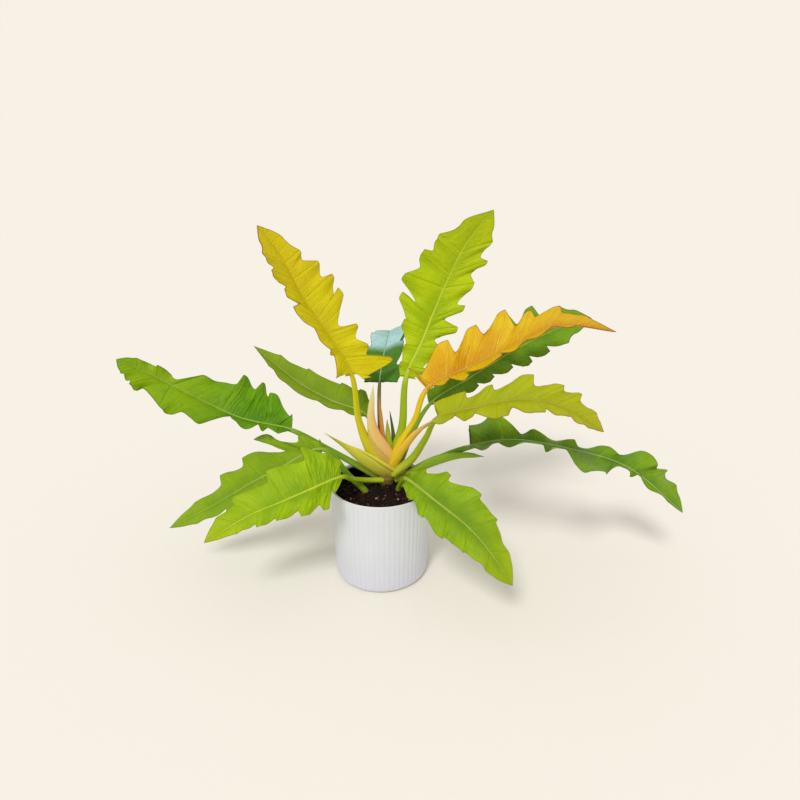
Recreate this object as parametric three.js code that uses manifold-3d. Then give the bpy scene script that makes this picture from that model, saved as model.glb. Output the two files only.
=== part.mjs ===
// Potted philodendron: a ribbed cover pot, the black grower's pot inside it, the soil, the crown,
// and every leaf and sheath that grows from the crown, each as a solid of its own.
// Millimetres, +Z up. The origin is the centre of the cover pot's foot, and -Y is the front.

import * as THREE from 'three';
import { mergeVertices } from 'three/addons/utils/BufferGeometryUtils.js';
import Module from 'manifold-3d';

const wasm = await Module();
wasm.setup();

// Driving dimensions
const potHeight = 150;
const potRadius = 76; // outside, at the rim
const potFootRadius = 71;
const potWall = 2.6;
const potFloor = 3.5;
const potRibs = 60;
const potRibDepth = 0.6;
const potLip = 5; // smooth band round the rim
const potFootRound = 9;
const linerGap = 0.4; // running clearance between the two pots
const linerWall = 1.4;
const linerLip = 3; // how far the grower's pot stands in from its wall at the rim
const linerHeight = 146;
const soilEdge = 130; // soil level where it meets the grower's pot
const soilMound = 11; // how far the soil rises to the crown
const soilTilt = 0.09; // how far it falls from right to left, in each millimetre
const crownX = 8;
const crownY = 7;
const crownRadius = 14;
const crownTop = 174;
const crownBottom = 100;
const seatGap = 0.35; // gap between solids that touch
const bladeThickness = 0.9;

// Leaves
// stalk holds the points of the petiole from the crown or the soil to the blade, and rib those of
// the midrib from the foot of the blade to its tip. facing is the way the upper face looks, from
// foot to tip. fold is how far both halves are raised, in degrees, at the foot and at the tip.
// left and right are the lobes of each half, from the foot up: how far along the rib the lobe's tip
// lies, how far out, and, for some, how far behind the tip the notch after it starts and how deep
// that notch is. notch is the share of its reach that a half loses in the first and last notches.
// girth is the petiole's radius at its foot and at the blade, and, for some, how much wider its foot is.
const leaves = [
  {
    name: 'leaf_gold_left', colour: 0xcdbb0c, girth: [8, 3.6, 5], blunt: 1.4, wave: 3,
    stalk: [[12, 4, 166], [-14, 5, 200], [-31, 8, 246]],
    rib: [[-40, 18, 312], [-69, 22, 367], [-104, 22, 422], [-131, 18, 480], [-156, 10, 519]],
    facing: [[0.58, -0.74, 0.33], [0.6, -0.7, 0.38]], fold: [24, 14], notch: [0.5, 0.32],
    left: [
      [4, 16], [11, 34, -24, 0.2], [50, 17, 0, 0.05], [86, 20, 0, 0.1], [127, 27, 3, 0.48],
      [152, 25, 0, 0.24], [183, 30, 0, 0.16], [210, 24],
    ],
    right: [
      [-10, 28], [2, 64, -11, 0.22], [27, 40, -11, 0.25], [57, 42, -8, 0.55], [110, 51, 7, 0.22],
      [135, 54, -3, 0.18], [162, 44, -8, 0.2], [184, 28],
    ],
  },
  {
    name: 'leaf_lime_tall', colour: 0xa5c40a, girth: [8, 4.2], blunt: 1.25, wave: 4,
    stalk: [[14, 12, 170], [23, 16, 201], [32, 24, 228]],
    rib: [[38, 44, 299], [60, 54, 348], [80, 62, 398], [122, 66, 490], [157, 62, 535]],
    facing: [[-0.1, -1, 0.2], [0.3, -0.9, -0.1]], fold: [8, 8], notch: [0.5, 0.24],
    left: [
      [0, 12, 0, 0.15], [19, 16, 0, 0.1], [44, 22, 0, 0.05], [80, 37, 0, 0.06], [114, 54, 8, 0.43],
      [140, 61, -12, 0.16], [179, 51, -2, 0.14], [204, 41, 0, 0.25],
    ],
    right: [
      [2, 14, 0, 0.2], [24, 26, 0, 0.3], [60, 28, -5, 0.43], [97, 41, -1, 0.5], [130, 38, 4, 0.29],
      [165, 37, -7, 0.27], [204, 40, 2, 0.16], [235, 30],
    ],
  },
  {
    name: 'leaf_orange_right', colour: 0xeaa10a, girth: [6.2, 4, 2], blunt: 1, wave: 3,
    stalk: [[15, 1, 176], [27, -2, 210], [50, -4, 252]],
    rib: [[67, -2, 298], [127, 6, 328], [182, 10, 356], [248, 8, 386], [322, -4, 381]],
    facing: [[-0.3, -0.36, 0.88], [-0.1, -0.36, 0.93]], fold: [36, 38], notch: [0.5, 0.12],
    left: [[1, 42], [55, 50], [103, 51], [148, 52], [176, 34], [206, 28], [236, 16]],
    right: [[8, 34], [32, 40], [57, 56, 4], [112, 44], [152, 36], [196, 24], [234, 13]],
  },
  {
    name: 'leaf_green_right_back', colour: 0x4f8a12, girth: [5, 3.2], blunt: 1.3, wave: 4,
    stalk: [[22, 16, 160], [32, 22, 177], [45, 33, 207]],
    rib: [[75, 60, 251], [137, 80, 286], [214, 95, 331], [275, 105, 359], [322, 105, 374]],
    facing: [[-0.4, -0.6, 0.7], [-0.3, -0.6, 0.7]], fold: [15, 10], notch: [0.36, 0.3],
    left: [[16, 26], [46, 34], [80, 40], [110, 46], [142, 51], [178, 56], [214, 55], [244, 37]],
    right: [[20, 26], [48, 32], [76, 27], [104, 28], [136, 31], [165, 39], [196, 37], [232, 33]],
  },
  {
    name: 'leaf_lime_right', colour: 0xa2b60e, girth: [8, 4.2], blunt: 1.15, wave: 3,
    stalk: [[20, -1, 164], [46, -12, 193], [64, -26, 231]],
    rib: [[80, -50, 274], [121, -65, 293], [178, -85, 313], [229, -100, 311], [282, -115, 282]],
    facing: [[-0.3, -0.25, 0.9], [0.1, -0.35, 0.93]], fold: [26, 20], notch: [0.42, 0.14],
    left: [[-8, 34], [43, 27], [81, 27], [129, 38], [163, 30], [183, 28], [209, 18]],
    right: [[-4, 30], [32, 36], [62, 42], [108, 52], [148, 38], [178, 28], [206, 18]],
  },
  {
    name: 'leaf_green_right_long', colour: 0x5d9a10, girth: [6.4, 4.6], blunt: 1.2, wave: 6,
    stalk: [[22, 6, 150], [66, 4, 173], [88, 3, 188]],
    rib: [[132, 0, 207], [190, -5, 220], [272, -15, 211], [355, -25, 187], [443, -35, 117]],
    facing: [[-0.2, 0, 0.97], [0.1, -0.28, 0.95], [0.5, -0.6, 0.65]], fold: [26, 12], notch: [0.35, 0.2],
    left: [
      [4, 44], [44, 52, -23, 0.24], [92, 19, -14, 0.2], [149, 14, -3, 0.5], [200, 17, -11, 0.24],
      [262, 41, -12, 0.1], [290, 37, 0, 0.05], [318, 31],
    ],
    right: [
      [2, 34], [38, 40], [78, 28, -23, 0.6], [116, 26, -19, 0.42], [166, 60, -20, 0.08],
      [210, 21, -20, 0.12], [250, 9, 0, 0.1], [312, 5],
    ],
  },
  {
    name: 'leaf_lime_front_right', colour: 0x8fbb0d, girth: [5, 3.4], blunt: 1.5, wave: 3,
    stalk: [[23, -3, 120], [27, -13, 145], [33, -33, 169]],
    rib: [[39, -54, 183], [77, -95, 172], [121, -130, 150], [144, -150, 130], [173, -165, 89]],
    facing: [[-0.2, -0.7, 0.67], [0.2, -0.8, 0.55]], fold: [10, 8], notch: [0.14, 0.05],
    left: [[0, 14], [20, 25], [52, 40, 0, 0.2], [100, 44], [131, 34], [168, 20]],
    right: [[2, 14], [32, 21], [60, 29], [98, 35], [134, 29], [170, 19]],
  },
  {
    name: 'leaf_green_left_long', colour: 0x57a412, girth: [6, 4], blunt: 1.5, wave: 6,
    stalk: [[-3, 10, 152], [-32, 12, 169], [-78, 13, 197]],
    rib: [[-132, 16, 227], [-205, 18, 245], [-273, 16, 282], [-325, 10, 316], [-364, 0, 341]],
    facing: [[0.1, -0.3, 0.95], [0.42, -0.75, 0.5]], fold: [28, 20], notch: [0.18, 0.15],
    left: [
      [14, 27, -17, 0.2], [48, 16, 0, 0.05], [84, 20, -9, 0.6], [138, 46, -12, 0.15], [180, 48, -30, 0.2],
      [234, 33, 0, 0.1], [250, 18],
    ],
    right: [
      [6, 24], [43, 49, -1, 0.14], [61, 63, -7, 0.2], [100, 62, 0, 0.1], [150, 34, -26, 0.3],
      [212, 16, 0, 0.1], [240, 13],
    ],
  },
  {
    name: 'leaf_green_left_back', colour: 0x77a516, girth: [4.4, 3], blunt: 0.9, wave: 2,
    stalk: [[1, 15, 160], [-7, 29, 184], [-13, 43, 207]],
    rib: [[-22, 60, 231], [-82, 90, 246], [-133, 118, 264], [-172, 140, 287], [-211, 155, 316]],
    facing: [[0.05, -0.45, 0.9], [0.35, -0.5, 0.8]], fold: [26, 22], notch: [0.08, 0.04],
    left: [[6, 16], [36, 20], [78, 22], [143, 25], [187, 16]],
    right: [[4, 18], [29, 33], [66, 34], [134, 29], [188, 18]],
  },
  {
    name: 'leaf_lime_front_left', colour: 0x93bb0c, girth: [4.2, 3.4], blunt: 1.2, wave: 4,
    stalk: [[4, -3, 154], [-18, -11, 158], [-40, -30, 170]],
    rib: [[-53, -55, 187], [-95, -90, 185], [-127, -105, 177], [-168, -120, 165], [-226, -135, 133]],
    facing: [[0.15, -0.7, 0.7], [-0.15, -0.75, 0.65]], fold: [12, 8], notch: [0.24, 0.12],
    left: [[24, 20, 0, 0.35], [50, 36], [76, 32], [106, 24], [132, 21], [160, 14]],
    right: [[-8, 24, 0, 0.04], [8, 40, 0, 0.04], [37, 58], [97, 46], [146, 31], [176, 20]],
  },
  {
    name: 'leaf_green_front_left', colour: 0x74a80e, girth: [5.6, 3.8], blunt: 1.2, wave: 4,
    stalk: [[-15, -1, 122], [-26, -8, 142], [-46, -9, 164]],
    rib: [[-83, -12, 209], [-145, -22, 183], [-189, -26, 160], [-242, -30, 128], [-313, -32, 89]],
    facing: [[-0.2, -0.5, 0.85], [-0.3, -0.55, 0.75]], fold: [12, 8], notch: [0.28, 0.14],
    left: [[4, 22], [24, 30], [60, 36], [108, 36], [160, 29], [214, 17]],
    right: [[4, 16], [26, 30], [97, 68, 48, 0.5], [119, 45], [160, 38], [212, 20]],
  },
  {
    name: 'leaf_dark_back', colour: 0x2f6f28, girth: [4.2, 2.8], blunt: 1.2, wave: 1,
    stalk: [[6, 15, 166], [1, 25, 198], [-2, 42, 233]],
    rib: [[-2, 67, 283], [6, 115, 324], [12, 168, 337], [18, 222, 315], [24, 266, 277]],
    facing: [[-0.3, -0.45, 0.85], [-0.1, 0.5, 0.85]], fold: [22, 10], notch: [0.2, 0.12],
    left: [[0, 24], [24, 31], [64, 28], [108, 28], [150, 26], [192, 18]],
    right: [[-4, 36], [22, 41], [64, 35], [108, 33], [150, 29], [192, 20]],
  },
];

// Sheaths and spears round the crown: the line of each, its half width at each seventh of the way, its
// thickness for its width, and the way its hollow side looks.
const sheaths = [
  {
    name: 'sheath_left', colour: 0xc9cf45, widths: [12, 13.5, 14, 12.5, 9, 4.8, 2.2], flat: 0.34,
    hollow: [0.1, 0.93, 0.25],
    line: [[19, 0, 162], [1, -8, 176], [-20, -12, 193], [-43, -14, 210], [-78, -14, 235]],
  },
  {
    name: 'sheath_right', colour: 0xe9b848, widths: [7, 7, 6.6, 6.2, 5.6, 4.6, 2.8], flat: 0.5,
    hollow: [-0.2, 0.95, 0.2], line: [[18, -3, 178], [33, -8, 207], [50, -11, 232], [73, -13, 254]],
  },
  {
    name: 'sheath_low_right', colour: 0x7fa81c, widths: [6, 7.5, 8.5, 9, 8, 6, 4.6], flat: 0.6,
    hollow: [0, 0.9, 0.45],
    line: [[40, -2, 163], [73, -4, 183], [98, -6, 193], [124, -7, 197], [152, -8, 195]],
  },
  {
    name: 'spear_pink', colour: 0xeccfa4, widths: [15, 15, 13, 10, 7, 5, 3.4], flat: 0.4,
    hollow: [0, 1, 0.1],
    line: [[16, 3, 171], [4, 4, 197], [-8, 5, 222], [-13, 6, 250], [-9, 8, 300]],
  },
  {
    name: 'spear_orange', colour: 0xd89040, widths: [4.5, 4.2, 4, 3.6, 3, 2.4, 1.6], flat: 0.6,
    hollow: [0, 1, 0.1], line: [[13, 9, 184], [5, 12, 209], [1, 14, 252], [-1, 15, 278]],
  },
  {
    name: 'spear_green', colour: 0xb4bd3c, widths: [6, 6, 6, 5.5, 4.5, 3.4, 2], flat: 0.6,
    hollow: [0, 1, 0.1], line: [[16, 12, 180], [12, 14, 211], [10, 16, 244]],
  },
  {
    name: 'spike_dark', colour: 0x5b6a2a, widths: [3.6, 3.4, 3.4, 3, 2.4, 1.8, 1.2], flat: 0.7,
    hollow: [0, 1, 0.1], line: [[20, 16, 188], [19, 20, 217], [14, 24, 254]],
  },
];

// Small helpers
const radians = THREE.MathUtils.degToRad;
const mix = THREE.MathUtils.lerp;
const clamp = THREE.MathUtils.clamp;
const vec = ([x, y, z]) => new THREE.Vector3(x, y, z);

// A copy of a point, moved by each [direction, distance] in turn.
function offset(point, ...moves) {
  const moved = point.clone();
  moves.forEach(([way, far]) => moved.addScaledVector(way, far));
  return moved;
}

function solidOf(geometry) {
  const bare = new THREE.BufferGeometry();
  bare.setAttribute('position', geometry.getAttribute('position').clone());
  if (geometry.index) bare.setIndex(geometry.index.clone());
  const merged = mergeVertices(bare, 1e-3);
  return new wasm.Manifold(new wasm.Mesh({
    numProp: 3,
    vertProperties: merged.attributes.position.array,
    triVerts: new Uint32Array(merged.index.array),
  }));
}

function geometryOf(solid) {
  const mesh = solid.getMesh();
  const positions = new Float32Array(mesh.numVert * 3);
  for (let i = 0; i < mesh.numVert; i += 1) {
    positions.set(mesh.vertProperties.subarray(i * mesh.numProp, i * mesh.numProp + 3), i * 3);
  }
  const geometry = new THREE.BufferGeometry();
  geometry.setAttribute('position', new THREE.BufferAttribute(positions, 3));
  geometry.setIndex(new THREE.BufferAttribute(new Uint32Array(mesh.triVerts), 1));
  geometry.computeVertexNormals();
  return geometry;
}

function largestPiece(solid) {
  return solid.decompose().sort((a, b) => b.volume() - a.volume())[0];
}

// A closed solid skinned over rings of equal length, with a point beyond each end ring.
function skin(rings, startPoint, endPoint) {
  const count = rings[0].length;
  const points = [...rings.flat(), startPoint, endPoint];
  const start = points.length - 2;
  const end = points.length - 1;
  const faces = [];
  for (let i = 0; i + 1 < rings.length; i += 1) {
    for (let k = 0; k < count; k += 1) {
      const next = (k + 1) % count;
      const a = i * count + k;
      const b = i * count + next;
      const c = a + count;
      const d = b + count;
      // The lower face of a blade is split along the same diagonals as the upper one.
      if (k < count / 2) faces.push(a, b, d, a, d, c);
      else faces.push(a, b, c, b, d, c);
    }
  }
  const last = (rings.length - 1) * count;
  for (let k = 0; k < count; k += 1) {
    const next = (k + 1) % count;
    faces.push(start, next, k);
    faces.push(end, last + k, last + next);
  }
  const geometry = new THREE.BufferGeometry();
  const position = new THREE.Float32BufferAttribute(points.flatMap((p) => p.toArray()), 3);
  geometry.setAttribute('position', position);
  geometry.setIndex(faces);
  return geometry;
}

// The blade in the flat. A place on it is a number: 0 at the foot, 1 at the first lobe's tip,
// 2 at the second's, and one more than the number of lobes at the leaf's tip.
// Each step from one lobe to the next is a notch, a rise, a shoulder and the next lobe's tip.
const notchPhase = 0.2;
const risePhase = 0.48;
const shoulderPhase = 0.75;
const endPhases = [0.2, 0.45, 0.7, 0.9];

function lobeCorners(leaf, lobes, index) {
  const usual = mix(leaf.notch[0], leaf.notch[1], index / (lobes.length - 2));
  const [along, out, hook = 0, depth = usual] = lobes[index];
  const [nextAlong, nextOut] = lobes[index + 1];
  const notchAlong = mix(along, nextAlong, 0.06) - hook;
  const notchOut = mix(out, Math.min(out, nextOut), Math.min(1, depth * 4)) * (1 - depth);
  return [
    [0, along, out],
    [notchPhase, notchAlong, notchOut],
    [risePhase, mix(notchAlong, nextAlong, 0.36), mix(notchOut, nextOut, 0.46)],
    [shoulderPhase, mix(notchAlong, nextAlong, 0.68), mix(notchOut, nextOut, 1)],
    [1, nextAlong, nextOut],
  ];
}

function marginPlace(leaf, lobes, place, length) {
  const index = Math.floor(place + 1e-6) - 1;
  const phase = place - index - 1;
  if (index < 0) return [lobes[0][0] * place, mix(leaf.girth[1], lobes[0][1], place)];
  if (index >= lobes.length - 1) {
    const [along, out, , depth = leaf.notch[1] * 0.6] = lobes.at(-1);
    const dip = 1 - depth * Math.sin(Math.PI * clamp(phase * 2, 0, 1));
    return [mix(along, length, phase), out * dip * (1 - phase ** leaf.blunt)];
  }
  const corners = lobeCorners(leaf, lobes, index);
  const upper = corners.findIndex((corner) => corner[0] > phase);
  const [from, to] = [corners[upper - 1], corners[upper]];
  const share = (phase - from[0]) / (to[0] - from[0]);
  return [mix(from[1], to[1], share), mix(from[2], to[2], share)];
}

const veinLean = [0.12, 0.85]; // how far behind its tip a lobe's vein starts, at the foot and at the tip
const veinSpacing = 3; // the least distance between two veins on the midrib

// Where the vein that ends at this place leaves the midrib.
function veinFoot(leaf, place, length) {
  const lean = (along) => mix(...veinLean, clamp(along / length, 0, 1));
  const footOf = ([along, out, hook = 0]) => along - lean(along) * out - hook * 1.5;
  const steps = [0];
  leaf.left.forEach((lobe, i) => {
    const foot = mix(footOf(lobe), footOf(leaf.right[i]), 0.5);
    steps.push(Math.max(foot, steps.at(-1) + veinSpacing));
  });
  steps.push(length);
  const index = Math.min(Math.floor(place), steps.length - 2);
  return mix(steps[index], steps[index + 1], place - index);
}

function placesOf(leaf) {
  const count = leaf.left.length;
  const places = [0];
  for (let i = 1; i < count; i += 1) {
    places.push(i, i + notchPhase, i + risePhase, i + shoulderPhase);
  }
  places.push(count, ...endPhases.map((phase) => count + phase));
  return places;
}

const lineDivisions = 420;

// The leaf's line in space, and its frame at any distance from the foot of the blade.
function lineOf(leaf) {
  const points = [...leaf.stalk, ...leaf.rib].map(vec);
  const curve = new THREE.CatmullRomCurve3(points, false, 'centripetal');
  curve.arcLengthDivisions = lineDivisions;
  const lengths = curve.getLengths(lineDivisions);
  const total = lengths.at(-1);
  const stalkLength = lengths[Math.round((lineDivisions * leaf.stalk.length) / (points.length - 1))];
  const length = total - stalkLength;
  const facing = leaf.facing.map((way) => vec(way).normalize());
  function frameAt(along) {
    const reach = clamp(along + stalkLength, 0, total);
    const tangent = curve.getTangentAt(reach / total);
    const point = curve.getPointAt(reach / total);
    point.addScaledVector(tangent, along + stalkLength - reach);
    const step = clamp(along / length, 0, 1) * (facing.length - 1);
    const lower = Math.min(Math.floor(step), facing.length - 2);
    const look = facing[lower].clone().lerp(facing[lower + 1], step - lower);
    const up = look.addScaledVector(tangent, -look.dot(tangent)).normalize();
    return { point, tangent, up, right: tangent.clone().cross(up).normalize() };
  }
  return { length, stalkLength, frameAt };
}

// A place on the blade's middle surface and the normal there. side is -1 left and 1 right.
const bladeArch = 4; // how far a half 40 mm wide bends back down, towards its margin

function bladePoint(leaf, line, place, side, share) {
  const lobes = side < 0 ? leaf.left : leaf.right;
  const foot = veinFoot(leaf, place, line.length);
  const [marginAlong, marginOut] = marginPlace(leaf, lobes, place, line.length);
  const along = mix(foot, marginAlong, share);
  const out = marginOut * share;
  const frame = line.frameAt(along);
  const fold = radians(mix(leaf.fold[0], leaf.fold[1], clamp(along / line.length, 0, 1)));
  const inLobes = place > 1 && place < lobes.length;
  const ripple = inLobes ? leaf.wave * share ** 1.5 * Math.cos(2 * Math.PI * place) : 0;
  const outward = frame.right.clone().multiplyScalar(side * Math.cos(fold))
    .addScaledVector(frame.up, Math.sin(fold));
  const normal = frame.up.clone().multiplyScalar(Math.cos(fold))
    .addScaledVector(frame.right, -side * Math.sin(fold));
  const point = offset(frame.point, [outward, out], [normal, ripple - bladeArch * (out / 40) ** 2]);
  return { point, normal };
}

const ribHeight = [0.8, 0.3]; // how far the midrib stands up, as a share of its half width
const ribTip = 0.6;

// One ring round the blade: the upper face from left to right, then the lower face back.
function bladeRing(leaf, line, place) {
  const foot = veinFoot(leaf, place, line.length);
  const frame = line.frameAt(foot);
  const rib = mix(leaf.girth[1] * 0.9, ribTip, (foot / line.length) ** 0.7);
  const half = bladeThickness / 2;
  const upper = [];
  const lower = [];
  [[-1, 1], [-1, 0.5], [-1, 0], [0, 0], [1, 0], [1, 0.5], [1, 1]].forEach(([side, share]) => {
    if (side === 0) {
      upper.push(offset(frame.point, [frame.up, rib * ribHeight[1] + half]));
      lower.push(offset(frame.point, [frame.up, -rib * ribHeight[0] - half]));
      return;
    }
    const { point, normal } = bladePoint(leaf, line, place, side, share);
    if (share === 0) point.addScaledVector(frame.right, side * rib);
    upper.push(offset(point, [normal, half]));
    lower.push(offset(point, [normal, -half]));
  });
  return [...upper, ...lower.reverse()];
}

const ringPoints = 14; // round the blade, and so round the petiole too

function stalkRing(frame, radius, spread, extra) {
  return Array.from({ length: ringPoints }, (_, k) => {
    const angle = Math.PI - ((k + 0.5) / ringPoints) * 2 * Math.PI;
    return offset(frame.point, [frame.right, Math.cos(angle) * (radius + spread + extra)],
      [frame.up, Math.sin(angle) * (radius * 0.88 + extra)]);
  });
}

const stalkShares = [0, 0.15, 0.32, 0.5, 0.72, 0.95];
const footShare = 0.55; // how much of the petiole its wider foot takes up

function stalkRings(leaf, line, extra) {
  const [foot, top, wider = 0] = leaf.girth;
  return stalkShares.map((share) => {
    const radius = mix(foot, top, share ** 0.8);
    const spread = wider * Math.max(0, 1 - share / footShare);
    return stalkRing(line.frameAt((share - 1) * line.stalkLength), radius, spread, extra);
  });
}

function leafSolid(leaf) {
  const line = lineOf(leaf);
  const rings = stalkRings(leaf, line, 0);
  placesOf(leaf).forEach((place) => rings.push(bladeRing(leaf, line, place)));
  const start = line.frameAt(-line.stalkLength);
  const end = line.frameAt(line.length);
  const startPoint = offset(start.point, [start.tangent, -0.5]);
  const endPoint = offset(end.point, [end.tangent, 0.5]);
  return solidOf(skin(rings, startPoint, endPoint));
}

function stalkSocket(leaf) {
  const line = lineOf(leaf);
  const rings = stalkRings(leaf, line, seatGap);
  const start = line.frameAt(-line.stalkLength);
  return solidOf(skin(rings, offset(start.point, [start.tangent, -1]), line.frameAt(0).point));
}

// Sheaths

const sheathSides = [6, 8]; // round a thin one and a broad one
const broadWidth = 6.5;

function sheathSolid(sheath, extra) {
  const sides = Math.max(...sheath.widths) > broadWidth ? sheathSides[1] : sheathSides[0];
  const curve = new THREE.CatmullRomCurve3(sheath.line.map(vec), false, 'centripetal');
  const rings = sheath.widths.map((width, i) => {
    const share = i / sheath.widths.length;
    const point = curve.getPointAt(share);
    const tangent = curve.getTangentAt(share);
    const hollow = vec(sheath.hollow);
    const up = hollow.addScaledVector(tangent, -hollow.dot(tangent)).normalize();
    const right = tangent.clone().cross(up).normalize();
    return Array.from({ length: sides }, (_, k) => {
      const angle = Math.PI - (k / sides) * 2 * Math.PI;
      return offset(point, [right, Math.cos(angle) * (width + extra)],
        [up, Math.sin(angle) * (width * sheath.flat + extra)]);
    });
  });
  const start = offset(curve.getPointAt(0), [curve.getTangentAt(0), -0.5 - extra]);
  const end = offset(curve.getPointAt(1), [curve.getTangentAt(1), extra]);
  return solidOf(skin(rings, start, end));
}

// Pots, soil and crown
function lathe(profile, segments) {
  const points = profile.map(([radius, z]) => new THREE.Vector2(radius, z));
  return new THREE.LatheGeometry(points, segments).rotateX(Math.PI / 2);
}

function potRadiusAt(z) {
  return mix(potFootRadius, potRadius, z / potHeight);
}

function coverPot() {
  const section = new THREE.Shape();
  const count = potRibs * 2; // a crest and a groove in turn
  for (let i = 0; i < count; i += 1) {
    const angle = (i / count) * 2 * Math.PI;
    if (i === 0) section.moveTo(1, 0);
    else section.lineTo(Math.cos(angle), Math.sin(angle));
  }
  const ribTop = potHeight - potLip;
  const levels = [0, 1.2, 4, potFootRound, ribTop - 1, ribTop, potHeight];
  const steps = levels.length - 1;
  const geometry = new THREE.ExtrudeGeometry(section, { depth: steps, steps, bevelEnabled: false });
  const position = geometry.getAttribute('position');
  for (let i = 0; i < position.count; i += 1) {
    const level = Math.round(position.getZ(i));
    const z = levels[level];
    const angle = Math.atan2(position.getY(i), position.getX(i));
    const drop = clamp(1 - z / potFootRound, 0, 1);
    const rounding = potFootRound * (1 - Math.sqrt(1 - drop ** 2)) * 0.8;
    const ribbed = level > 1 && z < ribTop;
    const groove = ribbed ? potRibDepth * (0.5 - 0.5 * Math.cos(angle * potRibs)) : 0;
    const radius = potRadiusAt(z) - rounding - groove;
    position.setXYZ(i, Math.cos(angle) * radius, Math.sin(angle) * radius, z);
  }
  const above = potHeight + 10;
  const corner = 4;
  const innerFoot = potRadiusAt(potFloor + corner) - potWall;
  const innerRim = potRadiusAt(potHeight) - potWall;
  const inside = lathe([
    [0, potFloor], [innerFoot - corner, potFloor], [innerFoot, potFloor + corner],
    [innerRim, potHeight], [innerRim, above], [0, above],
  ], 48);
  return solidOf(geometry).subtract(solidOf(inside));
}

function linerRadiusAt(z) {
  return potRadiusAt(z) - potWall - linerGap;
}

function growersPot() {
  const foot = potFloor + seatGap;
  const slope = 7; // of the rounded foot, and of the lip's underside
  const outerFoot = linerRadiusAt(foot + slope);
  const outerRim = linerRadiusAt(linerHeight);
  const profile = [
    [0, foot], [outerFoot - slope, foot], [outerFoot, foot + slope],
    [linerRadiusAt(linerHeight - 1), linerHeight - 1], [outerRim - 0.8, linerHeight],
    [outerRim - linerLip, linerHeight], [outerRim - linerLip - 0.8, linerHeight - 2],
    [outerRim - linerWall, linerHeight - slope],
    [outerFoot - linerWall, foot + slope], [outerFoot - slope, foot + linerWall], [0, foot + linerWall],
  ];
  return solidOf(lathe(profile, 32));
}

function soilSolid() {
  const foot = potFloor + seatGap + linerWall + seatGap;
  const inner = (z) => linerRadiusAt(z) - linerWall - 2 * seatGap;
  const slope = 9;
  const profile = [
    [0, foot], [inner(foot + slope) - slope, foot], [inner(foot + slope), foot + slope],
    [inner(soilEdge), soilEdge],
  ];
  const rings = 5;
  for (let i = rings - 1; i >= 0; i -= 1) {
    const share = i / rings;
    profile.push([inner(soilEdge) * share, soilEdge + soilMound * (1 - share ** 2)]);
  }
  const geometry = lathe(profile, 30);
  const position = geometry.getAttribute('position');
  for (let i = 0; i < position.count; i += 1) {
    const [x, y, z] = [position.getX(i), position.getY(i), position.getZ(i)];
    const open = clamp(1 - Math.hypot(x, y) / inner(soilEdge), 0, 1);
    if (z > soilEdge - 1) {
      const lumps = Math.sin(x * 0.31 + y * 0.12) + Math.sin(y * 0.37 - x * 0.09);
      position.setZ(i, z + soilTilt * x + 1.6 * Math.min(1, open * 5) * lumps);
    }
  }
  return solidOf(geometry);
}

function crownSolid(extra) {
  const profile = [
    [0, crownBottom], [5, crownBottom + 2], [9, crownBottom + 18], [11, soilEdge + 6], [crownRadius, 152],
    [crownRadius - 1, 163], [7, crownTop - 2], [0, crownTop],
  ].map(([radius, z]) => [radius > 0 ? radius + extra : 0, z]);
  return solidOf(lathe(profile, 16).translate(crownX, crownY, 0));
}

// Assembly
const plant = new THREE.Group();

function add(name, solid, color, roughness) {
  const material = new THREE.MeshStandardMaterial({ color, roughness, metalness: 0 });
  const mesh = new THREE.Mesh(geometryOf(solid), material);
  mesh.name = name;
  plant.add(mesh);
}

// What grows from the crown, front first: where two bases press together, the one behind gives way.
const growthOrder = [
  'sheath_left', 'leaf_gold_left', 'leaf_orange_right', 'sheath_right', 'leaf_lime_right', 'spear_pink',
  'leaf_lime_tall', 'leaf_lime_front_left', 'leaf_lime_front_right', 'leaf_green_front_left',
  'leaf_green_right_long', 'sheath_low_right', 'leaf_green_left_long', 'spear_orange', 'leaf_dark_back',
  'spear_green', 'leaf_green_right_back', 'leaf_green_left_back', 'spike_dark',
];

let taken = null;
growthOrder.forEach((name) => {
  const leaf = leaves.find((one) => one.name === name);
  const sheath = sheaths.find((one) => one.name === name);
  let solid = leaf ? leafSolid(leaf) : sheathSolid(sheath, 0);
  if (taken) solid = largestPiece(solid.subtract(taken));
  const socket = leaf ? stalkSocket(leaf) : sheathSolid(sheath, seatGap);
  taken = taken ? taken.add(socket) : socket;
  add(name, solid, (leaf ?? sheath).colour, 0.42);
});

add('crown', largestPiece(crownSolid(0).subtract(taken)), 0x8c8a3a, 0.7);
add('soil', largestPiece(soilSolid().subtract(crownSolid(seatGap)).subtract(taken)), 0x3a241c, 0.95);
add('growers_pot', growersPot(), 0x17181a, 0.5);
add('cover_pot', coverPot(), 0xdfe3ea, 0.42);

export default plant;
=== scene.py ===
import math
import random
from bisect import bisect_right

import bmesh
import bpy
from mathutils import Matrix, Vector, noise


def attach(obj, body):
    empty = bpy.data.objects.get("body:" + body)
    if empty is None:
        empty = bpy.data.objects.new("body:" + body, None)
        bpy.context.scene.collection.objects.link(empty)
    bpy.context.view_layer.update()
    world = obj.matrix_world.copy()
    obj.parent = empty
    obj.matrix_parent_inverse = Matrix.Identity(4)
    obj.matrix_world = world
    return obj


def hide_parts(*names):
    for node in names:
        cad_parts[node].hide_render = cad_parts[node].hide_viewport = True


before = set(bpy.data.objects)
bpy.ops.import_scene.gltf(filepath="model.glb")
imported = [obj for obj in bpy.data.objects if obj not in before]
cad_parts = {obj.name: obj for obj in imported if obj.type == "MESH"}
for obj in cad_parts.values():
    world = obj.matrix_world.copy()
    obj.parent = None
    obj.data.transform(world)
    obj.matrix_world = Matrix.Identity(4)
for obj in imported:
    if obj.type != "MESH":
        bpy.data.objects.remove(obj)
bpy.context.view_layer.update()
print("frame loaded:", len(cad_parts), "nodes")

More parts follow.
